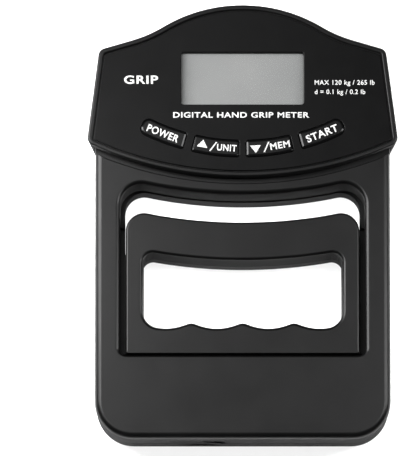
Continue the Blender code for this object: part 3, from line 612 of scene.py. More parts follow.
def palm_edge_cutters():
    """The socket's slot in the palm edge, and the shallow scoop round it."""
    levels = [(0.0, PALM_EDGE - PAST), (0.0, WALL + PAST)]
    slot = stack("socket_slot", socket_outline(FIT, SOCKET_HALF_HEIGHT), levels, upright=True)
    x, y = SCOOP_CENTRE
    scoop = rods("palm_scoop", [((x, y, SCOOP_LOW), (x, y, SCOOP_HIGH))], SCOOP_RADIUS, 256)
    return slot, scoop


def ring_cavity(name, outline, low, high):
    """The hollow between the frame's outer wall and the wall round the opening."""
    hollow = tapered_body(stack(name, inset(outline, WALL), [(0.0, low), (0.0, high)]))
    core = stack(name + "_core", inset(opening_outline(), -WALL), [(0.0, low - PAST), (0.0, high + PAST)])
    cut(hollow, core)
    return hollow


def rear_casing():
    outline = body_back_outline()
    top = [(0.0, PARTING - PARTING_EDGE), (-PARTING_EDGE, PARTING)]
    rear = tapered_body(stack("rear_casing", outline, rim(0.0, BACK_EDGE, -1, -1) + top))
    join(rear, tapered_head(stack("head_back", head_outline(), rim(0.0, BACK_EDGE, -1, -1) + top)))
    cut(rear, ring_cavity("rear_cavity", outline, WALL, PARTING + PAST))
    head_levels = [(-WALL, WALL), (-WALL, PARTING + PAST)]
    head_cavity = tapered_head(stack("head_back_cavity", head_outline(), head_levels))
    core_levels = [(WALL, WALL - PAST), (WALL, PARTING + 2 * PAST)]
    cut(head_cavity, stack("head_cavity_core", opening_outline(), core_levels))
    cut(rear, head_cavity)
    pad_low = (-WELL_PAD_HALF_WIDTH, WELL_PAD_BOTTOM, WALL / 2)
    pad_high = (WELL_PAD_HALF_WIDTH, OPENING_BOTTOM - WALL / 2, WELL_PAD)
    bosses = rods("rear_bosses", screw_ends(CASE_SCREWS, WALL / 2, PARTING), BOSS_RADIUS)
    join(rear, bosses, block("well_pad", pad_low, pad_high))
    ledge = opening_outline(LEDGE_HALF_WIDTH, LEDGE_UPPER_CORNER)
    bevel = LIP_BEVEL - LIP
    opening = [(bevel, PARTING + PAST), (bevel, PARTING), (-LIP, PARTING - LIP_BEVEL)]
    opening += [*offset(rim(0.0, INNER_EDGE, 1, -1)[::-1], -LIP), (INNER_EDGE - LIP, -PAST)]
    well = [(0.0, WELL_FLOOR), *rim(0.0, WELL_EDGE, 1, -1)[::-1], (WELL_EDGE, -PAST)]
    slot_low = (-WHEEL_SLOT_HALF_WIDTH, WHEEL_BOTTOM - WHEEL_GAP, 0.0)
    slot_high = (WHEEL_SLOT_HALF_WIDTH, WHEEL_TOP + WHEEL_GAP, WELL_PAD + PAST)
    heads = screw_ends(CASE_SCREWS, -PAST, CASE_HEAD_HOLE_END)
    shanks = screw_ends(CASE_SCREWS, 0.0, PARTING + PAST)
    cut(
        rear,
        stack("rear_opening", ledge, opening),
        stack("thumb_well", rectangle(*WELL), well),
        block("wheel_slot", slot_low, slot_high),
        rods("head_holes", heads, CASE_HEAD_HOLE, 40),
        rods("shank_holes", shanks, CASE_SHANK_HOLE, 20),
        *tongue_channels(),
        rod_bore("rod_hole", *ROD_HOLE),
        *palm_edge_cutters(),
    )
    return weighted(rear)


def front_casing():
    outline = body_outline()
    low = PARTING + FIT
    levels = [(-PARTING_EDGE, low), (0.0, low + PARTING_EDGE), *rim(BODY_FRONT, FRONT_EDGE, -1, 1, 10)]
    front = tapered_body(stack("front_casing", outline, levels))
    cut(front, ring_cavity("front_cavity", outline, PARTING - PAST, BODY_FRONT - WALL))
    places = screw_ends(LOWER_SCREWS + MIDDLE_SCREWS, low, BODY_FRONT - WALL / 2)
    join(front, rods("front_bosses", places, BOSS_RADIUS))
    opening = [(PARTING_EDGE, low - PAST), (PARTING_EDGE, low), (0.0, low + PARTING_EDGE)]
    opening += [*rim(BODY_FRONT, opening_edge, 1, 1, 8), (opening_edge, BODY_FRONT + PAST)]
    ways = []
    for name, (way_low, way_high) in (("cable_way", CABLE_WAY), ("board_way", BOARD_WAY)):
        ways.append(block(name, (*way_low, PARTING - PAST), (*way_high, BODY_FRONT - WALL)))
    gap = [(HEAD_GAP, BODY_FRONT - HEAD_GAP_DEPTH)]
    gap += offset(rim(BODY_FRONT, HEAD_GAP_EDGE, 1, 1, 4), HEAD_GAP)
    gap.append((HEAD_GAP + HEAD_GAP_EDGE, BODY_FRONT + PAST))
    core_levels = [(WALL, PARTING - 2 * PAST), (WALL, BODY_FRONT + PAST)]
    cut(ways[-1], stack("way_core", opening_outline(), core_levels))
    shanks = screw_ends(LOWER_SCREWS + MIDDLE_SCREWS, 0.0, CASE_SHANK_HOLE_END)
    cut(
        front,
        stack("front_opening", opening_outline(), opening),
        stack("head_gap", head_outline(), gap),
        rods("shank_holes", shanks, CASE_SHANK_HOLE, 20),
        *tongue_channels(),
        rod_bore("rod_hole", *ROD_HOLE),
        *palm_edge_cutters(),
        *ways,
    )
    return weighted(front)


# ---- Display head ----

SEAM = 0.1
PANEL_CHAMFER = 0.1
PANEL_EDGE = 0.2
PANEL_HOLE_EDGE = 0.25
LENS_EDGE = 0.2
# The display's glasses and the cutter for their contact ledge, as lowest and highest corners
SCREEN = ((-30.0, 140.0, GLASS_BACK), (30.0, 170.0, GLASS_FRONT))
SCREEN_EDGE = 0.15
CONTACT_LEDGE = ((-31.0, 139.0, 25.0), (31.0, 142.0, 27.0))
# A button's rounded top, as (how far it grows, height from the top)
BUTTON_CROWN = ((0.0, -0.55), (-0.05, -0.4), (-0.16, -0.3), (-0.72, -0.04), (-0.85, 0.0))


def head_bezel():
    """The raised rim round the face, and the head's side wall down to the parting line."""
    low = PARTING + FIT
    levels = [(-PARTING_EDGE, low), (0.0, low + PARTING_EDGE), *rim(HEAD_FRONT, RIM_OUTER, -1, 1)]
    bezel = tapered_head(stack("head_bezel", head_outline(), levels))
    cut(bezel, tapered_head(stack("cavity", head_outline(), [(-WALL, low - PAST), (-WALL, HEAD_WALL_BACK)])))
    body = inset(body_outline(), -FIT)
    cut(bezel, tapered_body(stack("frame_room", body, [(0.0, low - PAST), (0.0, BODY_FRONT + SEAM)])))
    pocket_outline = inset(head_outline(), RIM_OUTER + RIM_FLAT + RIM_INNER)
    pocket = [(0.0, PANEL_FLOOR), *rim(HEAD_FRONT, RIM_INNER, 1, 1), (RIM_INNER, HEAD_FRONT + PAST)]
    cut(bezel, stack("pocket", pocket_outline, pocket))
    join(bezel, rods("bosses", screw_ends(TOP_SCREWS, low, HEAD_WALL_BACK + PAST), BOSS_RADIUS))
    through = [(0.0, HEAD_WALL_BACK - 2 * PAST), (0.0, HEAD_FRONT)]
    holes = [stack("display_hole", display_outline(), through)]
    for span in BUTTON_SPANS:
        holes.append(stack("button_hole", button_outline(span, FIT), through))
    pilots = screw_ends(TOP_SCREWS, low - PAST, CASE_SHANK_HOLE_END)
    cut(bezel, rods("pilots", pilots, CASE_SHANK_HOLE, 20), *holes)
    return weighted(bezel)


def face_panel():
    levels = [(-PANEL_CHAMFER, PANEL_BACK), (0.0, PANEL_BACK + PANEL_CHAMFER)]
    levels += rim(PANEL_FRONT, PANEL_EDGE, -1, 1, 3)
    panel = stack("gloss_panel", inset(head_outline(), PANEL_INSET), levels)
    hole = [(0.0, PANEL_BACK - PAST), *rim(PANEL_FRONT, PANEL_HOLE_EDGE, 1, 1, 3)]
    hole.append((PANEL_HOLE_EDGE, HEAD_FRONT))
    holes = [stack("panel_display_hole", display_outline(), hole)]
    for span in BUTTON_SPANS:
        holes.append(stack("panel_slot", button_outline(span, FIT), hole))
    cut(panel, *holes)
    return weighted(panel)


def display_lens():
    levels = [(0.0, LENS_BACK), *rim(LENS_FRONT, LENS_EDGE, -1, 1, 3)]
    return weighted(stack("display_lens", display_outline(-FIT), levels))


def display_screen():
    """The liquid crystal's sandwich: two glasses, the upper one shorter, with a ledge for its contacts."""
    screen = block("display_screen", *SCREEN, SCREEN_EDGE, 2)
    cut(screen, block("ledge", *CONTACT_LEDGE))
    return weighted(screen)


def button_cap(name, span):
    levels = [(FLANGE_LIP, FLANGE_BACK), (FLANGE_LIP, FLANGE_FRONT), (0.0, FLANGE_FRONT)]
    levels += [(grow, BUTTON_TOP + rise) for grow, rise in BUTTON_CROWN]
    return weighted(stack(name + "_cap_piece", button_outline(span), levels))


# ---- Grip ----

DRAFT = 0.5
GRIP_LINE = 0.2
# Rooms for the crossbar, as lowest and highest corners
LOWER_ROOM = ((-40.5, 38.4, 5.0), (40.5, 44.4, 23.0))
UPPER_ROOM = ((-38.0, 82.5, 5.0), (38.0, 91.0, 23.0))
GRIP_ROD_HOLE = (35.0, 39.0, ROD_RADIUS + 0.5)
GRIP_SHANK_HOLE = 1.5
GRIP_SHANK_HOLE_ENDS = (5.0, 21.0)
GRIP_HEAD_HOLE = 2.6
GRIP_HEAD_HOLE_END = 6.5
TONGUE_ROOT = 1.0


def window_cutter(name, face, upward):
    """The window through one half of the grip, rounded at its outer face and drafted towards the parting."""
    inner = GRIP_PARTING + upward * FIT / 2
    line = GRIP_LINE - DRAFT
    levels = [(line, inner - upward * PAST), (line, inner), (-DRAFT, inner + upward * GRIP_LINE)]
    rounded_levels = rim(face, WINDOW_EDGE, 1, upward, 8)
    levels += rounded_levels if upward > 0 else rounded_levels[::-1]
    levels.append((WINDOW_EDGE, face + upward * PAST))
    return stack(name, window_outline(), levels)


def grip_rooms():
    """Rooms inside the grip for the crossbar, and holes for the rod and the screws."""
    return (
        block("lower_room", *LOWER_ROOM),
        block("upper_room", *UPPER_ROOM),
        rod_bore("grip_rod_hole", *GRIP_ROD_HOLE),
        rods("grip_shank_holes", screw_ends(GRIP_SCREWS, *GRIP_SHANK_HOLE_ENDS), GRIP_SHANK_HOLE, 20),
    )


def grip_front():
    low = GRIP_PARTING + FIT / 2
    levels = [(-GRIP_LINE, low), (0.0, low + GRIP_LINE), *rim(GRIP_FRONT, grip_edge, -1, 1, 7)]
    front = stack("grip_front", grip_outline(), levels)
    cut(front, window_cutter("front_window", GRIP_FRONT, 1), *grip_rooms())
    return weighted(front)


def grip_rear():
    high = GRIP_PARTING - FIT / 2
    levels = [*rim(GRIP_BACK, GRIP_EDGE, -1, -1, 7), (0.0, high - GRIP_LINE), (-GRIP_LINE, high)]
    rear = stack("grip_rear", grip_outline(), levels)
    low = (GRIP_HALF_WIDTH - TONGUE_ROOT, TONGUE_BOTTOM, TONGUE_BACK)
    join(rear, *sides("tongue", low, (TONGUE_OUTER, TONGUE_TOP, TONGUE_FRONT)))
    heads = screw_ends(GRIP_SCREWS, GRIP_BACK - PAST, GRIP_HEAD_HOLE_END)
    cut(
        rear,
        window_cutter("rear_window", GRIP_BACK, -1),
        *grip_rooms(),
        rods("grip_head_holes", heads, GRIP_HEAD_HOLE, 40),
    )
    return weighted(rear)


# ---- Span adjustment, screws and socket ----

FLUTE_DEPTH = 0.75
POINTS_PER_FLUTE = 8
WHEEL_EDGE = 0.7
# The ring-shaped dish in each face of the wheel
DISH_DEPTH = 0.6
DISH_OUTER_RADIUS = 8.6
DISH_OUTER_DRAFT = 0.4
DISH_INNER_RADIUS = 6.2
DISH_INNER_DRAFT = 0.3
# The thread's flanks: how steep they are, and how much of the pitch is flat at the root
FLANK_SLOPE = 2.2
FLANK_START = 0.6
# A screw head's profile, as (how far it grows, height above its top), and its cross recess, in head radii
SCREW_HEAD_HEIGHT = 1.6
SCREW_HEAD_PROFILE = ((-0.75, 0.0), (-0.35, 0.12), (-0.1, 0.4), (0.0, 0.8))
SCREW_TIP_RADIUS = 0.5
SCREW_TIP_LENGTH = 1.0
RECESS_REACH = 0.62
RECESS_HALF_WIDTH = 0.13
RECESS_DEPTH = 1.1
# The charging socket's steel shell and contact tongue, along Y from the palm edge
PORT_FRONT = 1.1
PORT_EDGE = 0.15
PORT_FLAT = 0.05
PORT_BACK = 8.0
PORT_WALL = 0.35
PORT_FLOOR = 7.4
# The tongue's lowest and highest X, lowest and highest Z about the rod's height, and corner radius
PORT_TONGUE = (SOCKET_X - 3.2, SOCKET_X + 3.2, -0.35, 0.35, 0.2)
PORT_TONGUE_LEVELS = ((-0.1, 1.8), (0.0, 1.9), (0.0, 7.8))


def thumbwheel():
    """The wheel is a nut: fluted for the thumb, with a threaded bore."""
    outline = []
    points = POINTS_PER_FLUTE * WHEEL_FLUTES
    for i in range(points):
        degrees = 360.0 * i / points
        wave = abs(math.sin(math.radians(WHEEL_FLUTES * degrees / 2)))
        outline.append(circle_point(0.0, 0.0, WHEEL_RADIUS - FLUTE_DEPTH * (1.0 - wave), degrees))
    levels = [*rim(WHEEL_BOTTOM, WHEEL_EDGE, -1, -1, 4), *rim(WHEEL_TOP, WHEEL_EDGE, -1, 1, 4)]
    wheel = stack("thumbwheel", outline, levels, upright=True)
    dishes = []
    for face, outwards in ((WHEEL_BOTTOM, -1), (WHEEL_TOP, 1)):
        near, far = face - outwards * DISH_DEPTH, face + outwards * PAST
        levels = [(0.0, near), (DISH_OUTER_DRAFT, far)]
        dish = stack("dish", circle(0.0, 0.0, DISH_OUTER_RADIUS, 64), levels, upright=True)
        levels = [(DISH_INNER_DRAFT, near), (0.0, far)]
        cut(dish, stack("boss", circle(0.0, 0.0, DISH_INNER_RADIUS, 64), levels, upright=True))
        dishes.append(dish)
    cut(wheel, *dishes, rod_bore("bore", WHEEL_BOTTOM - PAST, WHEEL_TOP + PAST, WHEEL_BORE, 64))
    return weighted(wheel)


def threaded_rod():
    """A helical thread: each ring of points follows the thread's depth round the rod."""
    shape = bmesh.new()
    around = 40
    per_turn = 10
    plain = 1.0
    rings = int((ROD_TOP - ROD_BOTTOM) / THREAD_PITCH * per_turn) + 1
    loops = []
    for i in range(rings):
        along = (ROD_TOP - ROD_BOTTOM) * i / (rings - 1)
        loop = []
        for j in range(around):
            turn = j / around
            phase = (along / THREAD_PITCH - turn) % 1.0
            flank = min(1.0, max(0.0, FLANK_SLOPE * abs(2.0 * phase - 1.0) - FLANK_START))
            fade = min(1.0, min(along, ROD_TOP - ROD_BOTTOM - along) / plain)
            radius = ROD_RADIUS - THREAD_DEPTH * (1.0 - flank * fade)
            x, z = circle_point(0.0, 0.0, radius, 360.0 * turn)
            loop.append(shape.verts.new(place(x, ROD_BOTTOM + along, ROD_HEIGHT + z)))
        loops.append(loop)
    skin(shape, loops)
    return weighted(add_object("threaded_rod_piece", shape))


def screw(name, x, y, shank, head, seat, end):
    """A pan-head screw driven in from the back, with a cross recess."""
    low = seat - SCREW_HEAD_HEIGHT
    levels = [(grow, low + rise) for grow, rise in SCREW_HEAD_PROFILE]
    levels += [(0.0, seat), (shank - head, seat)]
    levels += [(shank - head, end - SCREW_TIP_LENGTH), (SCREW_TIP_RADIUS - head, end)]
    made = stack(name, circle(x, y, head, 40), levels)
    reach = RECESS_REACH * head
    half = RECESS_HALF_WIDTH * head
    deep = low + RECESS_DEPTH
    arms = [
        block(name + "_slot", (x - reach, y - half, low - PAST), (x + reach, y + half, deep)),
        block(name + "_cross", (x - half, y - reach, low - PAST), (x + half, y + reach, deep)),
    ]
    cut(made, *arms)
    return weighted(made)


def charging_port():
    """A reversible charging socket: a drawn steel shell with its contact tongue."""
    outline = socket_outline(0.0, SOCKET_HALF_HEIGHT - PORT_FLAT)
    levels = [*rim(PORT_FRONT, PORT_EDGE, -1, -1, 3), (0.0, PORT_BACK)]
    port = stack("charging_port", outline, levels, upright=True)
    cut(port, stack("inside", inset(outline, PORT_WALL), [(0.0, 0.0), (0.0, PORT_FLOOR)], upright=True))
    join(port, stack("tongue", rectangle(*PORT_TONGUE), PORT_TONGUE_LEVELS, upright=True))
    return weighted(port)


# ---- Print ----

PRINT_LIFT = 0.02
ARROW_STRETCH = (1.15, 0.95)
STROKE_LEAN = 0.28
STROKE_HALF_WIDTH = 0.3
# Lines on the face: name, words, x and y of the middle, width, height, and how much bolder than the font
PANEL_LINES = (
    ("print_code", "GRIP", -43.3, 154.3, 14.5, 3.7, 0.022),
    ("print_range", "MAX 120 kg / 265 lb", 43.6, 152.8, 25.6, 2.7, 0.012),
    ("print_step", "d = 0.1 kg / 0.2 lb", 41.6, 148.7, 21.6, 2.7, 0.012),
    ("print_title", "DIGITAL HAND GRIP METER", -0.6, 138.9, 58.0, 2.45, 0.02),
)
# Signs on the buttons: their width and height, and how far along the button they stand
WORD_SIZE = (14.2, 3.3)
WORD_SHARE = 0.5
SHORT_WORD_SIZE = (8.4, 2.9)
SHORT_WORD_SHARE = 0.74
ARROW_SIZE = 2.3
ARROW_SHARE = 0.2
STROKE_LENGTH = 4.2
STROKE_SHARE = 0.44


def text(name, words, x, y, width, height, front, turn=0.0, weight=0.02):
    """White print, width by height about (x, y), standing PRINT_LIFT proud of the face at height front."""
    curve = bpy.data.curves.new(name, "FONT")
    curve.body = words
    curve.offset = weight
    curve.space_character = 1.1
    curve.resolution_u = 6
    guide = linked(name + "_guide", curve)
    mesh = evaluated_mesh(guide)
    bpy.data.objects.remove(guide)
    shape = bmesh.new()
    shape.from_mesh(mesh)
    bpy.data.meshes.remove(mesh)
    xs = [vertex.co.x for vertex in shape.verts]
    ys = [vertex.co.y for vertex in shape.verts]
    middle = Vector(((min(xs) + max(xs)) / 2, (min(ys) + max(ys)) / 2, 0.0))
    scale = (width / (max(xs) - min(xs)), height / (max(ys) - min(ys)))
    return print_mesh(name, shape, middle, *scale, x, y, front, turn)


def print_mesh(name, shape, middle, scale_x, scale_y, x, y, front, turn):
    """Places flat letters on a face and gives them their thickness."""
    spin = Matrix.Rotation(math.radians(turn), 3, "Z")
    bmesh.ops.remove_doubles(shape, verts=shape.verts, dist=1e-5)
    for vertex in shape.verts:
        at = vertex.co - middle
        at = spin @ Vector((at.x * scale_x, at.y * scale_y, 0.0))
        vertex.co = place(x + at.x, y + at.y, front - PRINT_LIFT)
    made = bmesh.ops.extrude_face_region(shape, geom=shape.faces[:])
    moved = [item for item in made["geom"] if isinstance(item, bmesh.types.BMVert)]
    bmesh.ops.translate(shape, verts=moved, vec=(0.0, 0.0, 2 * PRINT_LIFT * MM))
    return add_object(name, shape)


def sign(name, corners, x, y, turn, stretch=(1.0, 1.0)):
    """A filled polygon printed on a button."""
    shape = bmesh.new()
    shape.faces.new([shape.verts.new((px, py, 0.0)) for px, py in corners])
    return print_mesh(name, shape, Vector(), *stretch, x, y, BUTTON_TOP, turn)


def arrow_head(name, x, y, turn, upward):
    start = 60.0 if upward else 120.0
    corners = [circle_point(0.0, 0.0, ARROW_SIZE, start + 120.0 * i) for i in range(3)]
    return sign(name, corners, x, y, turn, ARROW_STRETCH)


def stroke(name, x, y, turn):
    """A slanting stroke between two signs."""
    half, lean, thick = STROKE_LENGTH / 2, STROKE_LEAN * STROKE_LENGTH, STROKE_HALF_WIDTH
    corners = ((-lean - thick, -half), (-lean + thick, -half), (lean + thick, half), (lean - thick, half))
    return sign(name, corners, x, y, turn)


def panel_print(finish):
    """The lettering on the face: generic words only."""
    for name, words, x, y, width, height, weight in PANEL_LINES:
        line = text(name, words, x, y, width, height, PANEL_FRONT, weight=weight)
        piece(line, finish, "frame")


def on_button(span, share):
    """The place along a button's middle line, and its slope there."""
    degrees = span[0] + (span[1] - span[0]) * share
    middle = (BUTTON_OUTER_RADIUS + BUTTON_INNER_RADIUS) / 2
    x, y = circle_point(0.0, BUTTON_ARC_CENTRE, middle, degrees)
    return x, y, degrees


def legends(finish):
    """Words on the outer buttons, and an arrow head, a stroke and a word on the inner ones."""
    words = {"button_power": "POWER", "button_start": "START", "button_up": "UNIT", "button_down": "MEM"}
    for name, span in zip(BUTTON_NAMES, BUTTON_SPANS):
        plain_word = name in ("button_power", "button_start")
        x, y, turn = on_button(span, WORD_SHARE if plain_word else SHORT_WORD_SHARE)
        size = WORD_SIZE if plain_word else SHORT_WORD_SIZE
        pieces = [text(name + "_legend", words[name], x, y, *size, BUTTON_TOP, turn)]
        if not plain_word:
            pieces.append(arrow_head(name + "_arrow", *on_button(span, ARROW_SHARE), name == "button_up"))
            pieces.append(stroke(name + "_stroke", *on_button(span, STROKE_SHARE)))
        for made in pieces:
            piece(made, finish, name + "_cap")


# ---- Materials ----

# Nearly all of a noise texture's values lie between these
NOISE_LOW = 0.3
NOISE_HIGH = 0.7
# How upright a face is: its normal's Z is below the first on a wall, and above the second on a flat
WALL_NORMAL = 0.05
FLAT_NORMAL = 0.35
WALL_ROUGHNESS = 0.95
BLUE_TINT = 0.0001


class Finish:
    """A Principled material and short ways to add procedural detail to it."""

    def __init__(self, name, roughness, metallic=0.0, specular=0.5):
        self.material = bpy.data.materials.new(name)
        self.material.use_nodes = True
        self.nodes = self.material.node_tree.nodes
        self.links = self.material.node_tree.links
        self.shader = self.nodes["Principled BSDF"]
        self.shader.inputs["Roughness"].default_value = roughness
        self.shader.inputs["Metallic"].default_value = metallic
        self.shader.inputs["Specular IOR Level"].default_value = specular
        self.place = self.nodes.new("ShaderNodeTexCoord").outputs["Object"]

    def node(self, kind, linked_inputs, values):
        """A new node, with some inputs linked to outputs and some set to values."""
        made = self.nodes.new("ShaderNode" + kind)
        for name, output in linked_inputs.items():
            self.links.new(output, made.inputs[name])
        for name, value in values.items():
            made.inputs[name].default_value = value
        return made

    def noise(self, size, detail=2.0, stretch=(1.0, 1.0, 1.0)):
        """Noise whose features are about size millimetres, stretched along the axes."""
        scale = [1.0 / value for value in stretch]
        mapped = self.node("Mapping", {"Vector": self.place}, {"Scale": scale}).outputs["Vector"]
        values = {"Scale": 1.0 / (size * MM), "Detail": detail}
        return self.node("TexNoise", {"Vector": mapped}, values).outputs["Fac"]

    def spread(self, value, low, high, from_low=NOISE_LOW, from_high=NOISE_HIGH):
        """A value mapped to a range."""
        ends = {"From Min": from_low, "From Max": from_high, "To Min": low, "To Max": high}
        return self.node("MapRange", {"Value": value}, ends).outputs["Result"]

    def colour(self, value, first, second):
        """Base colour that runs from first to second as a value rises."""
        ramp = self.node("ValToRGB", {"Fac": value}, {})
        ends = ((first, NOISE_LOW), (second, NOISE_HIGH))
        for element, (tone, position) in zip(ramp.color_ramp.elements, ends):
            element.position = position
            element.color = (*tone, 1.0)
        self.links.new(ramp.outputs["Color"], self.shader.inputs["Base Color"])

    def roughness(self, value, low, high):
        self.links.new(self.spread(value, low, high), self.shader.inputs["Roughness"])

    def roughness_by_facing(self, value, low, high):
        """Roughness from a value on faces that look up or down, and WALL_ROUGHNESS on upright ones."""
        normal = self.node("NewGeometry", {}, {}).outputs["Normal"]
        axes = self.node("SeparateXYZ", {"Vector": normal}, {})
        size = self.node("Math", {0: axes.outputs["Z"]}, {})
        size.operation = "ABSOLUTE"
        flatness = self.spread(size.outputs["Value"], 0.0, 1.0, WALL_NORMAL, FLAT_NORMAL)
        ends = {"Factor": flatness, "B": self.spread(value, low, high)}
        mix = self.node("Mix", ends, {"A": WALL_ROUGHNESS})
        self.links.new(mix.outputs["Result"], self.shader.inputs["Roughness"])

    def bump(self, *layers):
        """Relief from (value, depth in millimetres) layers."""
        normal = None
        for value, depth in layers:
            below = {"Normal": normal} if normal else {}
            normal = self.node("Bump", {"Height": value, **below}, {"Distance": depth * MM}).outputs["Normal"]
        self.links.new(normal, self.shader.inputs["Normal"])


def moulded_black(name, dark, light, rough_low, rough_high, grain, depth, specular):
    """Moulded black plastic: spark-eroded grain, faint flow variation, and patches polished by handling."""
    finish = Finish(name, rough_low, specular=specular)
    first, second = [(tone, tone, tone + BLUE_TINT) for tone in (dark, light)]
    finish.colour(finish.noise(9.0, 4.0), first, second)
    finish.roughness_by_facing(finish.noise(14.0, 5.0), rough_low, rough_high)
    finish.bump((finish.noise(grain, 2.0), depth), (finish.noise(2.6, 1.0), 0.6 * depth))
    return finish.material


def lcd():
    """An unlit reflective display: silver-grey with a fine cell pattern and a slight tint across it."""
    finish = Finish("lcd", 0.35, specular=0.3)
    finish.colour(finish.noise(22.0, 1.0), (0.19, 0.193, 0.19), (0.212, 0.215, 0.21))
    finish.roughness(finish.noise(0.4, 2.0), 0.3, 0.42)
    finish.bump((finish.noise(0.25, 1.0), 0.002))
    return finish.material


def clear_lens():
    finish = Finish("clear_lens", 0.08)
    finish.shader.inputs["Alpha"].default_value = 0.1
    finish.shader.inputs["IOR"].default_value = 1.49
    finish.colour(finish.noise(20.0, 2.0), (0.55, 0.57, 0.57), (0.62, 0.63, 0.63))
    return finish.material


def metal(name, first, second, roughness, grain, stretch):
    """Plated or machined metal, with fine lines from the tool."""
    finish = Finish(name, roughness, metallic=1.0)
    finish.colour(finish.noise(3.0, 4.0), first, second)
    lines = finish.noise(grain, 2.0, stretch)
    finish.roughness(lines, 0.75 * roughness, 1.3 * roughness)
    finish.bump((lines, 0.006))
    return finish.material


def plain(name, first, second, roughness, grain):
    """A non-metal with mottled colour, uneven gloss and fine grain."""
    finish = Finish(name, roughness)
    finish.colour(finish.noise(4.0, 4.0), first, second)
    finish.roughness(finish.noise(5.0, 4.0), 0.85 * roughness, min(1.0, 1.15 * roughness))
    finish.bump((finish.noise(grain, 2.0), 0.01))
    return finish.material


# Darkest and lightest tone, lowest and highest roughness, grain and its depth in mm, specular level
MOULDED = {
    "satin_black_abs": (0.0026, 0.0036, 0.29, 0.35, 0.5, 0.007, 0.31),
    "gloss_black_panel": (0.002, 0.003, 0.21, 0.25, 0.9, 0.002, 0.2),
    "black_nylon": (0.003, 0.004, 0.15, 0.19, 0.4, 0.002, 0.32),
}
# Two colours, roughness, grain in mm
PLAIN = {
    "white_plastic": ((0.78, 0.78, 0.76), (0.84, 0.84, 0.82), 0.5, 0.5),
    "print_white": ((0.80, 0.80, 0.79), (0.88, 0.88, 0.87), 0.55, 0.3),
    "circuit_board": ((0.015, 0.12, 0.05), (0.03, 0.17, 0.075), 0.4, 0.8),
    "chip_black": ((0.016, 0.016, 0.018), (0.024, 0.024, 0.026), 0.55, 0.2),
    "battery_wrap": ((0.10, 0.24, 0.45), (0.14, 0.29, 0.52), 0.38, 1.5),
    "cable_sheath": ((0.032, 0.032, 0.034), (0.045, 0.045, 0.047), 0.6, 0.4),
}
# Two colours, roughness, width of the tool's lines in mm, and how far they stretch along X, Y and Z
METAL = {
    "steel": ((0.50, 0.50, 0.51), (0.60, 0.60, 0.61), 0.32, 0.3, (1.0, 6.0, 1.0)),
    "aluminium": ((0.68, 0.69, 0.70), (0.76, 0.77, 0.78), 0.38, 0.25, (8.0, 1.0, 1.0)),
}


def make_materials():
    made = {"clear_window": clear_lens(), "display_grey": lcd()}
    for maker, table in ((moulded_black, MOULDED), (plain, PLAIN), (metal, METAL)):
        for name, settings in table.items():
            made[name] = maker(name, *settings)
    return made


# ---- Stage ----

CAMERA_ELEVATION = 78.0
CAMERA_DISTANCE = 5.0
FRAME_HEIGHT = 194.3
LOOK_AT = (-18.15, MIDDLE_Y - 2.7, 27.0)
SENSOR_WIDTH = 36.0
# Metres: the table top's half width, and how far it lies below the object
TABLE_REACH = 20.0
TABLE_DROP = 0.0002
# Area lights in metres and watts: name, place, aim, width and height, power
AREA_LIGHTS = (
    ("overhead", (-0.40, 0.17, 1.0), (-0.4, 0.17, 0.0), (0.9, 0.7), 1.9),
    ("key", (-0.27, 0.08, 0.30), (0.0, 0.0, 0.0), (0.15, 0.42), 2.5),
    ("fill", (0.32, 0.02, 0.38), (0.0, 0.0, 0.0), (0.12, 0.5), 1.55),
)
ROOM_LIGHT = 0.03
TABLE_LIGHT = 2.9


def camera():
    """A long lens high above the palm end, as a product photographer stands."""
    elevation = math.radians(CAMERA_ELEVATION)
    back = Vector((0.0, -math.cos(elevation), math.sin(elevation)))
    data = bpy.data.cameras.new("camera")
    data.sensor_width = SENSOR_WIDTH
    data.lens = SENSOR_WIDTH * CAMERA_DISTANCE / (FRAME_HEIGHT * MM)
    data.clip_start = 0.1
    data.clip_end = 20.0
    made = linked("camera", data)
    aim(made, -back)
    made.location = place(*LOOK_AT) + back * CAMERA_DISTANCE
    bpy.context.scene.camera = made


def floor():
    """A plain white table top."""
    shape = bmesh.new()
    bmesh.ops.create_grid(shape, x_segments=8, y_segments=8, size=TABLE_REACH)
    bmesh.ops.translate(shape, verts=shape.verts, vec=(0.0, 0.0, -TABLE_DROP))
    made = add_object("table_top", shape)
    dress(made, plain("table_white", (0.90, 0.90, 0.90), (0.92, 0.92, 0.92), 0.8, 2.0))
    return made


def soft_light(name, at, target, size, power):
    """A rectangular area light that the camera doesn't see."""
    data = bpy.data.lights.new(name, "AREA")
    data.shape = "RECTANGLE"
    data.size, data.size_y = size
    data.energy = power
    made = linked(name, data)
    made.location = at
    aim(made, Vector(target) - Vector(at))
    made.visible_camera = False


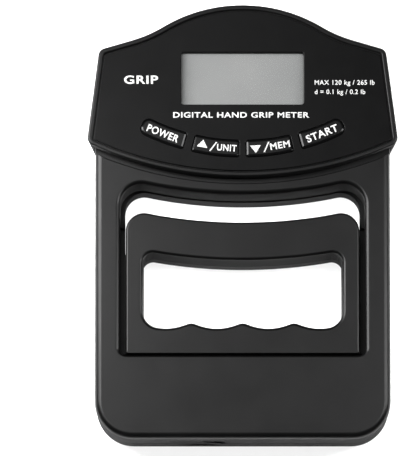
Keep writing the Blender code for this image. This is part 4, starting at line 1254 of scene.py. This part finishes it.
def lights():
    """A wide box overhead, a near soft box on the left, a weaker one on the right, and a dim room."""
    for name, at, target, size, power in AREA_LIGHTS:
        soft_light(name, at, target, size, power)
    world = bpy.data.worlds.new("studio")
    world.use_nodes = True
    bpy.context.scene.world = world
    background = world.node_tree.nodes["Background"]
    background.inputs["Color"].default_value = (1.0, 1.0, 1.0, 1.0)
    background.inputs["Strength"].default_value = ROOM_LIGHT


def table_light(table):
    """A light from straight above for the table alone, so that the object stands on even white."""
    data = bpy.data.lights.new("table_light", "SUN")
    data.energy = TABLE_LIGHT
    data.use_shadow = False
    made = linked("table_light", data)
    lit = bpy.data.collections.new("lit_by_table_light")
    lit.objects.link(table)
    made.light_linking.receiver_collection = lit


# ---- The whole object ----


def build(finishes):
    def add(obj, slot, node, body="frame"):
        piece(obj, finishes[slot], body, [node])

    add(rear_casing(), "satin_black_abs", "frame_rear_shell")
    add(front_casing(), "satin_black_abs", "frame_front_shell")
    add(head_bezel(), "satin_black_abs", "head_cover")
    add(face_panel(), "gloss_black_panel", "face_panel")
    add(display_lens(), "clear_window", "display_window")
    add(display_screen(), "display_grey", "display_glass")
    for name, span in zip(BUTTON_NAMES, BUTTON_SPANS):
        add(button_cap(name, span), "black_nylon", name, name + "_cap")
    panel_print(finishes["print_white"])
    legends(finishes["print_white"])
    add(grip_front(), "satin_black_abs", "grip_front_half", "grip")
    add(grip_rear(), "satin_black_abs", "grip_rear_half", "grip")
    add(thumbwheel(), "black_nylon", "adjusting_wheel", "wheel")
    add(threaded_rod(), "steel", "threaded_rod", "grip")
    screws = (("case", "frame", CASE_SCREWS, CASE_SCREW), ("grip", "grip", GRIP_SCREWS, GRIP_SCREW))
    for kind, body, places, size in screws:
        for i, (x, y) in enumerate(places, 1):
            add(screw(f"{kind}_screw_piece_{i}", x, y, *size), "steel", f"{kind}_screw_{i}", body)
    add(charging_port(), "steel", "charging_socket")


def finish_inner_nodes(finishes):
    """The CAD nodes that stay get their slot's procedural material."""
    for row in frame["record"]["subparts"]:
        node = frame["nodes"][row["node"]]
        if not node.hide_render:
            dress(node, finishes[row["material_slot"]])


camera()
lights()
table_light(floor())
FINISHES = make_materials()
build(FINISHES)
finish_inner_nodes(FINISHES)
bpy.context.scene.view_settings.view_transform = "Standard"
